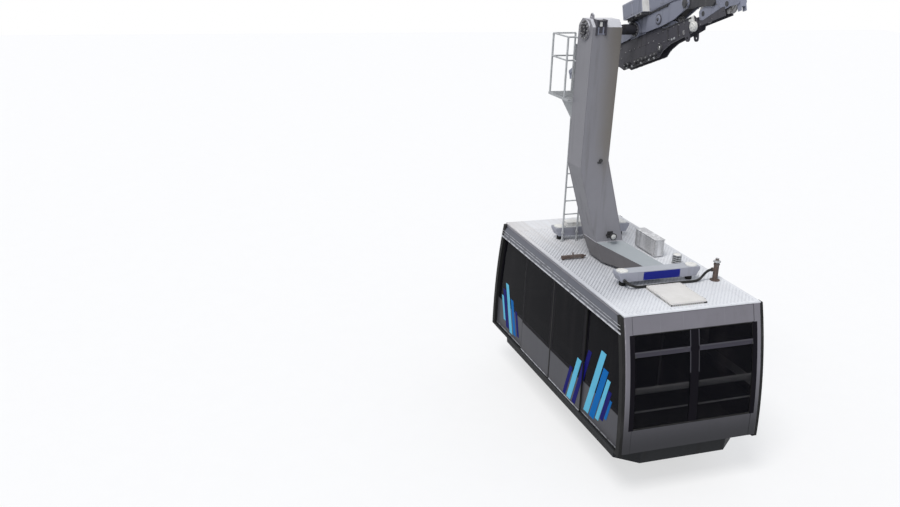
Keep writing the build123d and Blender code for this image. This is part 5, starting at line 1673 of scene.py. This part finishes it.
    def rollers(self):
        """Rollers and their rail low on the side plates, near-black partly as painted shade, and their nuts."""
        small = [(s, -0.186) for s in (-0.50, -0.38, -0.14, -0.02, 0.10, 0.22, 0.38, 0.50)]
        large = [(0.66, -0.120)]
        shape = bmesh.new()
        bosses(shape, small, self.PANEL_Y, 0.112, 0.040, 0.036)
        bosses(shape, large, self.PANEL_Y, 0.110, 0.062, 0.056, 32)
        for y in (-0.089, 0.089):
            turned(shape, (-0.56, y, -0.238), (0.56, y, -0.238), 0.011, segments=12)
        piece("panel_rollers", shape, "carriage", "dark", matrix=RISE, edge=0.003)
        shape = bmesh.new()
        bosses(shape, small, 0.111, 0.119, 0.016, 0.013, 6)
        bosses(shape, large, 0.109, 0.118, 0.036, 0.030)
        bosses(shape, [(1.36, -0.028)], 0.077, 0.088, 0.040, 0.034)
        piece("roller_nuts", shape, "carriage", "steel", matrix=RISE, edge=0.001)

    def panel_bolts(self, size):
        """Two rows of bolts on the lower side plates, lower down on their deep middle."""
        places = []
        for s in spread(-1.55, 1.55, 0.155):
            places += [(s, n) for n in ((0.120, -0.045) if abs(s) > 0.6 else (0.030, -0.160))]
        face_bolts("panel_bolts", [(self.PANEL_Y, places)], 0.95 * size)

    def sensor(self):
        """The sensor's round face, and its bracket."""
        s, y = 1.660, -0.123
        shape = bmesh.new()
        turned(shape, (s, y, 0.0), (s, y - 0.010, 0.0), 0.066, tip=0.060, segments=40)
        turned(shape, (s, y - 0.008, 0.0), (s, y - 0.022, 0.0), 0.024, tip=0.020, segments=24)
        piece("sensor_face", shape, "carriage", "white", matrix=RISE, edge=0.002)
        shape = bmesh.new()
        slab(shape, s - 0.045, s + 0.020, y, y + 0.040, 0.065, 0.110)
        slab(shape, s - 0.085, s - 0.030, y, y + 0.030, 0.085, 0.120)
        slab(shape, s - 0.020, s + 0.025, y + 0.005, y + 0.035, 0.105, 0.150)
        piece("sensor_bracket", shape, "carriage", "white", matrix=RISE, edge=0.006)

    def pipes(self):
        """Clamped oil pipes along the main beam's near side."""
        y = -0.118
        for number, end, n in ((1, 1.02, 0.468), (2, 1.07, 0.486)):
            shape = bmesh.new()
            turned(shape, (0.16, y, n), (end, y, n), 0.007, segments=12)
            piece(f"oil_pipe_{number}", shape, "carriage", "dark", matrix=RISE)
        shape = bmesh.new()
        for s in (0.20, 0.48, 0.76, 1.00):
            slab(shape, s - 0.012, s + 0.012, -0.128, -0.108, 0.456, 0.498)
        piece("oil_pipe_clamps", shape, "carriage", "dark", matrix=RISE, edge=0.002)

    def valves(self):
        """Valve blocks, pipe stubs and nuts under the power unit."""
        shape = bmesh.new()
        slab(shape, 0.180, 0.430, -0.232, -0.112, 0.470, 0.514)
        slab(shape, -0.120, 0.060, -0.200, -0.112, 0.462, 0.514)
        turned(shape, (-0.030, -0.210, 0.440), (-0.030, -0.112, 0.440), 0.034, segments=24)
        for s, y, low in ((0.10, -0.150, 0.470), (0.14, -0.172, 0.480), (-0.09, -0.165, 0.430)):
            turned(shape, (s, y, low), (s, y, 0.514), 0.014, segments=16)
        turned(shape, (0.060, -0.172, 0.486), (0.180, -0.172, 0.486), 0.014, segments=16)
        piece("brake_valves", shape, "carriage", "dark", matrix=RISE, edge=0.003)
        shape = bmesh.new()
        turned(shape, (-0.030, -0.226, 0.440), (-0.030, -0.209, 0.440), 0.020, segments=6)
        turned(shape, (0.230, -0.240, 0.492), (0.230, -0.231, 0.492), 0.014, segments=6)
        turned(shape, (0.380, -0.240, 0.492), (0.380, -0.231, 0.492), 0.014, segments=6)
        piece("brake_valve_nuts", shape, "carriage", "galvanised", matrix=RISE, edge=0.001)


class CABLECAR_OT_stage(CableCarOperator, bpy.types.Operator):
    """Set the camera, the lights, the pale floor and the background"""

    bl_idname = "cablecar.stage"
    bl_label = "Stage"

    # The camera's place, its angles in degrees, its focal length over the picture's width, and its sensor in
    # millimetres; then how far the floor is below the cabin, and half its size
    CAMERA = (14.491, -8.344, 2.042)
    AZIMUTH, ELEVATION, ROLL = 70.71, 19.40, 1.95
    FOCAL_PIXELS, IMAGE_WIDTH = 960.85, 900.0
    SENSOR, FLOOR_BELOW, FLOOR_HALF = 36.0, 0.55, 60.0

    def make(self, settings):
        self.camera()
        self.floor()
        self.world()
        self.lamps(settings)
        bpy.context.scene.view_settings.view_transform = "Standard"

    def camera(self):
        """The camera at the viewing angle, turned a little about its own line of sight."""
        azimuth, elevation = math.radians(self.AZIMUTH), math.radians(self.ELEVATION)
        back = Vector((math.sin(azimuth) * math.cos(elevation), -math.cos(azimuth) * math.cos(elevation),
                       math.sin(elevation)))
        level = (-back).cross(Vector((0, 0, 1))).normalized()
        rise = level.cross(-back)
        roll = math.radians(self.ROLL)
        right = level * math.cos(roll) + rise * math.sin(roll)
        up = rise * math.cos(roll) - level * math.sin(roll)
        data = bpy.data.cameras.new("Camera")
        data.sensor_width = self.SENSOR
        data.lens = self.SENSOR * self.FOCAL_PIXELS / self.IMAGE_WIDTH
        data.clip_end = 200.0
        made = bpy.data.objects.new("Camera", data)
        turn = Matrix((right, up, back)).transposed().to_4x4()
        made.matrix_world = Matrix.Translation(self.CAMERA) @ turn
        bpy.context.scene.collection.objects.link(made)
        bpy.context.scene.camera = made

    def floor(self):
        """A wide floor some way below the cabin, pale to the camera and in reflections, with a soft shadow."""
        finish = Finish("studio_floor")
        grain = finish.noise(3.0, detail=3.0)
        path = finish.node("ShaderNodeLightPath", output="Is Camera Ray")
        glossy = finish.node("ShaderNodeLightPath", output="Is Glossy Ray")
        through = finish.node("ShaderNodeLightPath", output="Is Transmission Ray")
        seen = path.most(glossy).most(through)
        pale = finish.mix(grain, (0.78, 0.78, 0.79), (0.82, 0.82, 0.83))
        finish.set(Base_Color=finish.mix(seen, (0.24, 0.25, 0.26), pale), Roughness=0.9)
        white = finish.node("ShaderNodeEmission", inputs={"Color": (1.0, 1.0, 1.0), "Strength": 1.0})
        mixed = finish.node("ShaderNodeMixShader", inputs={
            0: 0.62 * seen, 1: Value(finish, finish.shader.outputs[0]), 2: white})
        output = finish.tree.nodes["Material Output"]
        finish.tree.links.new(mixed.socket, output.inputs["Surface"])
        shape = bmesh.new()
        level = Matrix.Translation((0, 0, CAD_BOX[0][2] - self.FLOOR_BELOW))
        bmesh.ops.create_grid(shape, x_segments=1, y_segments=1, size=self.FLOOR_HALF, matrix=level)
        mesh = bpy.data.meshes.new("studio_floor")
        shape.to_mesh(mesh)
        shape.free()
        mesh.materials.append(finish.material)
        made = bpy.data.objects.new("studio_floor", mesh)
        bpy.context.scene.collection.objects.link(made)

    def world(self):
        """A cool dim sky that lights the cabin, and is plain white to the camera and in reflections."""
        world = bpy.data.worlds.new("Studio")
        world.use_nodes = True
        bpy.context.scene.world = world
        nodes, links = world.node_tree.nodes, world.node_tree.links
        output = nodes["World Output"]
        light, white = nodes["Background"], nodes.new("ShaderNodeBackground")
        light.inputs["Color"].default_value = (0.86, 0.91, 1.0, 1)
        light.inputs["Strength"].default_value = 0.62
        white.inputs["Color"].default_value = (1, 1, 1, 1)
        white.inputs["Strength"].default_value = 1.0
        path = nodes.new("ShaderNodeLightPath")
        mix = nodes.new("ShaderNodeMixShader")
        most = path.outputs["Is Camera Ray"]
        for name in ("Is Glossy Ray", "Is Transmission Ray"):
            maths = nodes.new("ShaderNodeMath")
            maths.operation = "MAXIMUM"
            links.new(most, maths.inputs[0])
            links.new(path.outputs[name], maths.inputs[1])
            most = maths.outputs[0]
        links.new(most, mix.inputs[0])
        links.new(light.outputs[0], mix.inputs[1])
        links.new(white.outputs[0], mix.inputs[2])
        links.new(mix.outputs[0], output.inputs["Surface"])

    def lamps(self, settings):
        """A broad soft light from above and uphill, and a weak one from the camera's side."""
        for name, turn, strength, angle, colour in (
                ("Key", (math.radians(24), math.radians(20), 0), settings.key_strength, 24, (1.0, 0.98, 0.95)),
                ("Fill", (math.radians(62), 0, math.radians(70)), 0.35, 60, (0.90, 0.94, 1.0))):
            data = bpy.data.lights.new(name, "SUN")
            data.energy = strength
            data.angle = math.radians(angle)
            data.color = colour
            made = bpy.data.objects.new(name, data)
            made.rotation_euler = turn
            bpy.context.scene.collection.objects.link(made)


class CABLECAR_PT_panel(bpy.types.Panel):
    """The pieces and their sizes."""

    bl_idname = "CABLECAR_PT_panel"
    bl_label = "Cable car"
    bl_space_type = "VIEW_3D"
    bl_region_type = "UI"
    bl_category = "Cable car"

    def draw(self, context):
        settings = context.scene.cable_car
        for key in CableCarSettings.__annotations__:
            self.layout.prop(settings, key)
        for operator in OPERATORS:
            self.layout.operator(operator.bl_idname)


OPERATORS = (
    CABLECAR_OT_finishes, CABLECAR_OT_roof, CABLECAR_OT_sides, CABLECAR_OT_stripes, CABLECAR_OT_ends,
    CABLECAR_OT_underside, CABLECAR_OT_hanger, CABLECAR_OT_ladder, CABLECAR_OT_roof_fittings, CABLECAR_OT_inside,
    CABLECAR_OT_carriage, CABLECAR_OT_stage,
)
CLASSES = (CableCarSettings, *OPERATORS, CABLECAR_PT_panel)


def register():
    for kind in CLASSES:
        bpy.utils.register_class(kind)
    bpy.types.Scene.cable_car = PointerProperty(type=CableCarSettings)


def unregister():
    del bpy.types.Scene.cable_car
    for kind in reversed(CLASSES):
        bpy.utils.unregister_class(kind)


def main():
    register()
    for operator in OPERATORS:
        group, name = operator.bl_idname.split(".")
        getattr(getattr(bpy.ops, group), name)()
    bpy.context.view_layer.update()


if __name__ == "__main__":
    main()
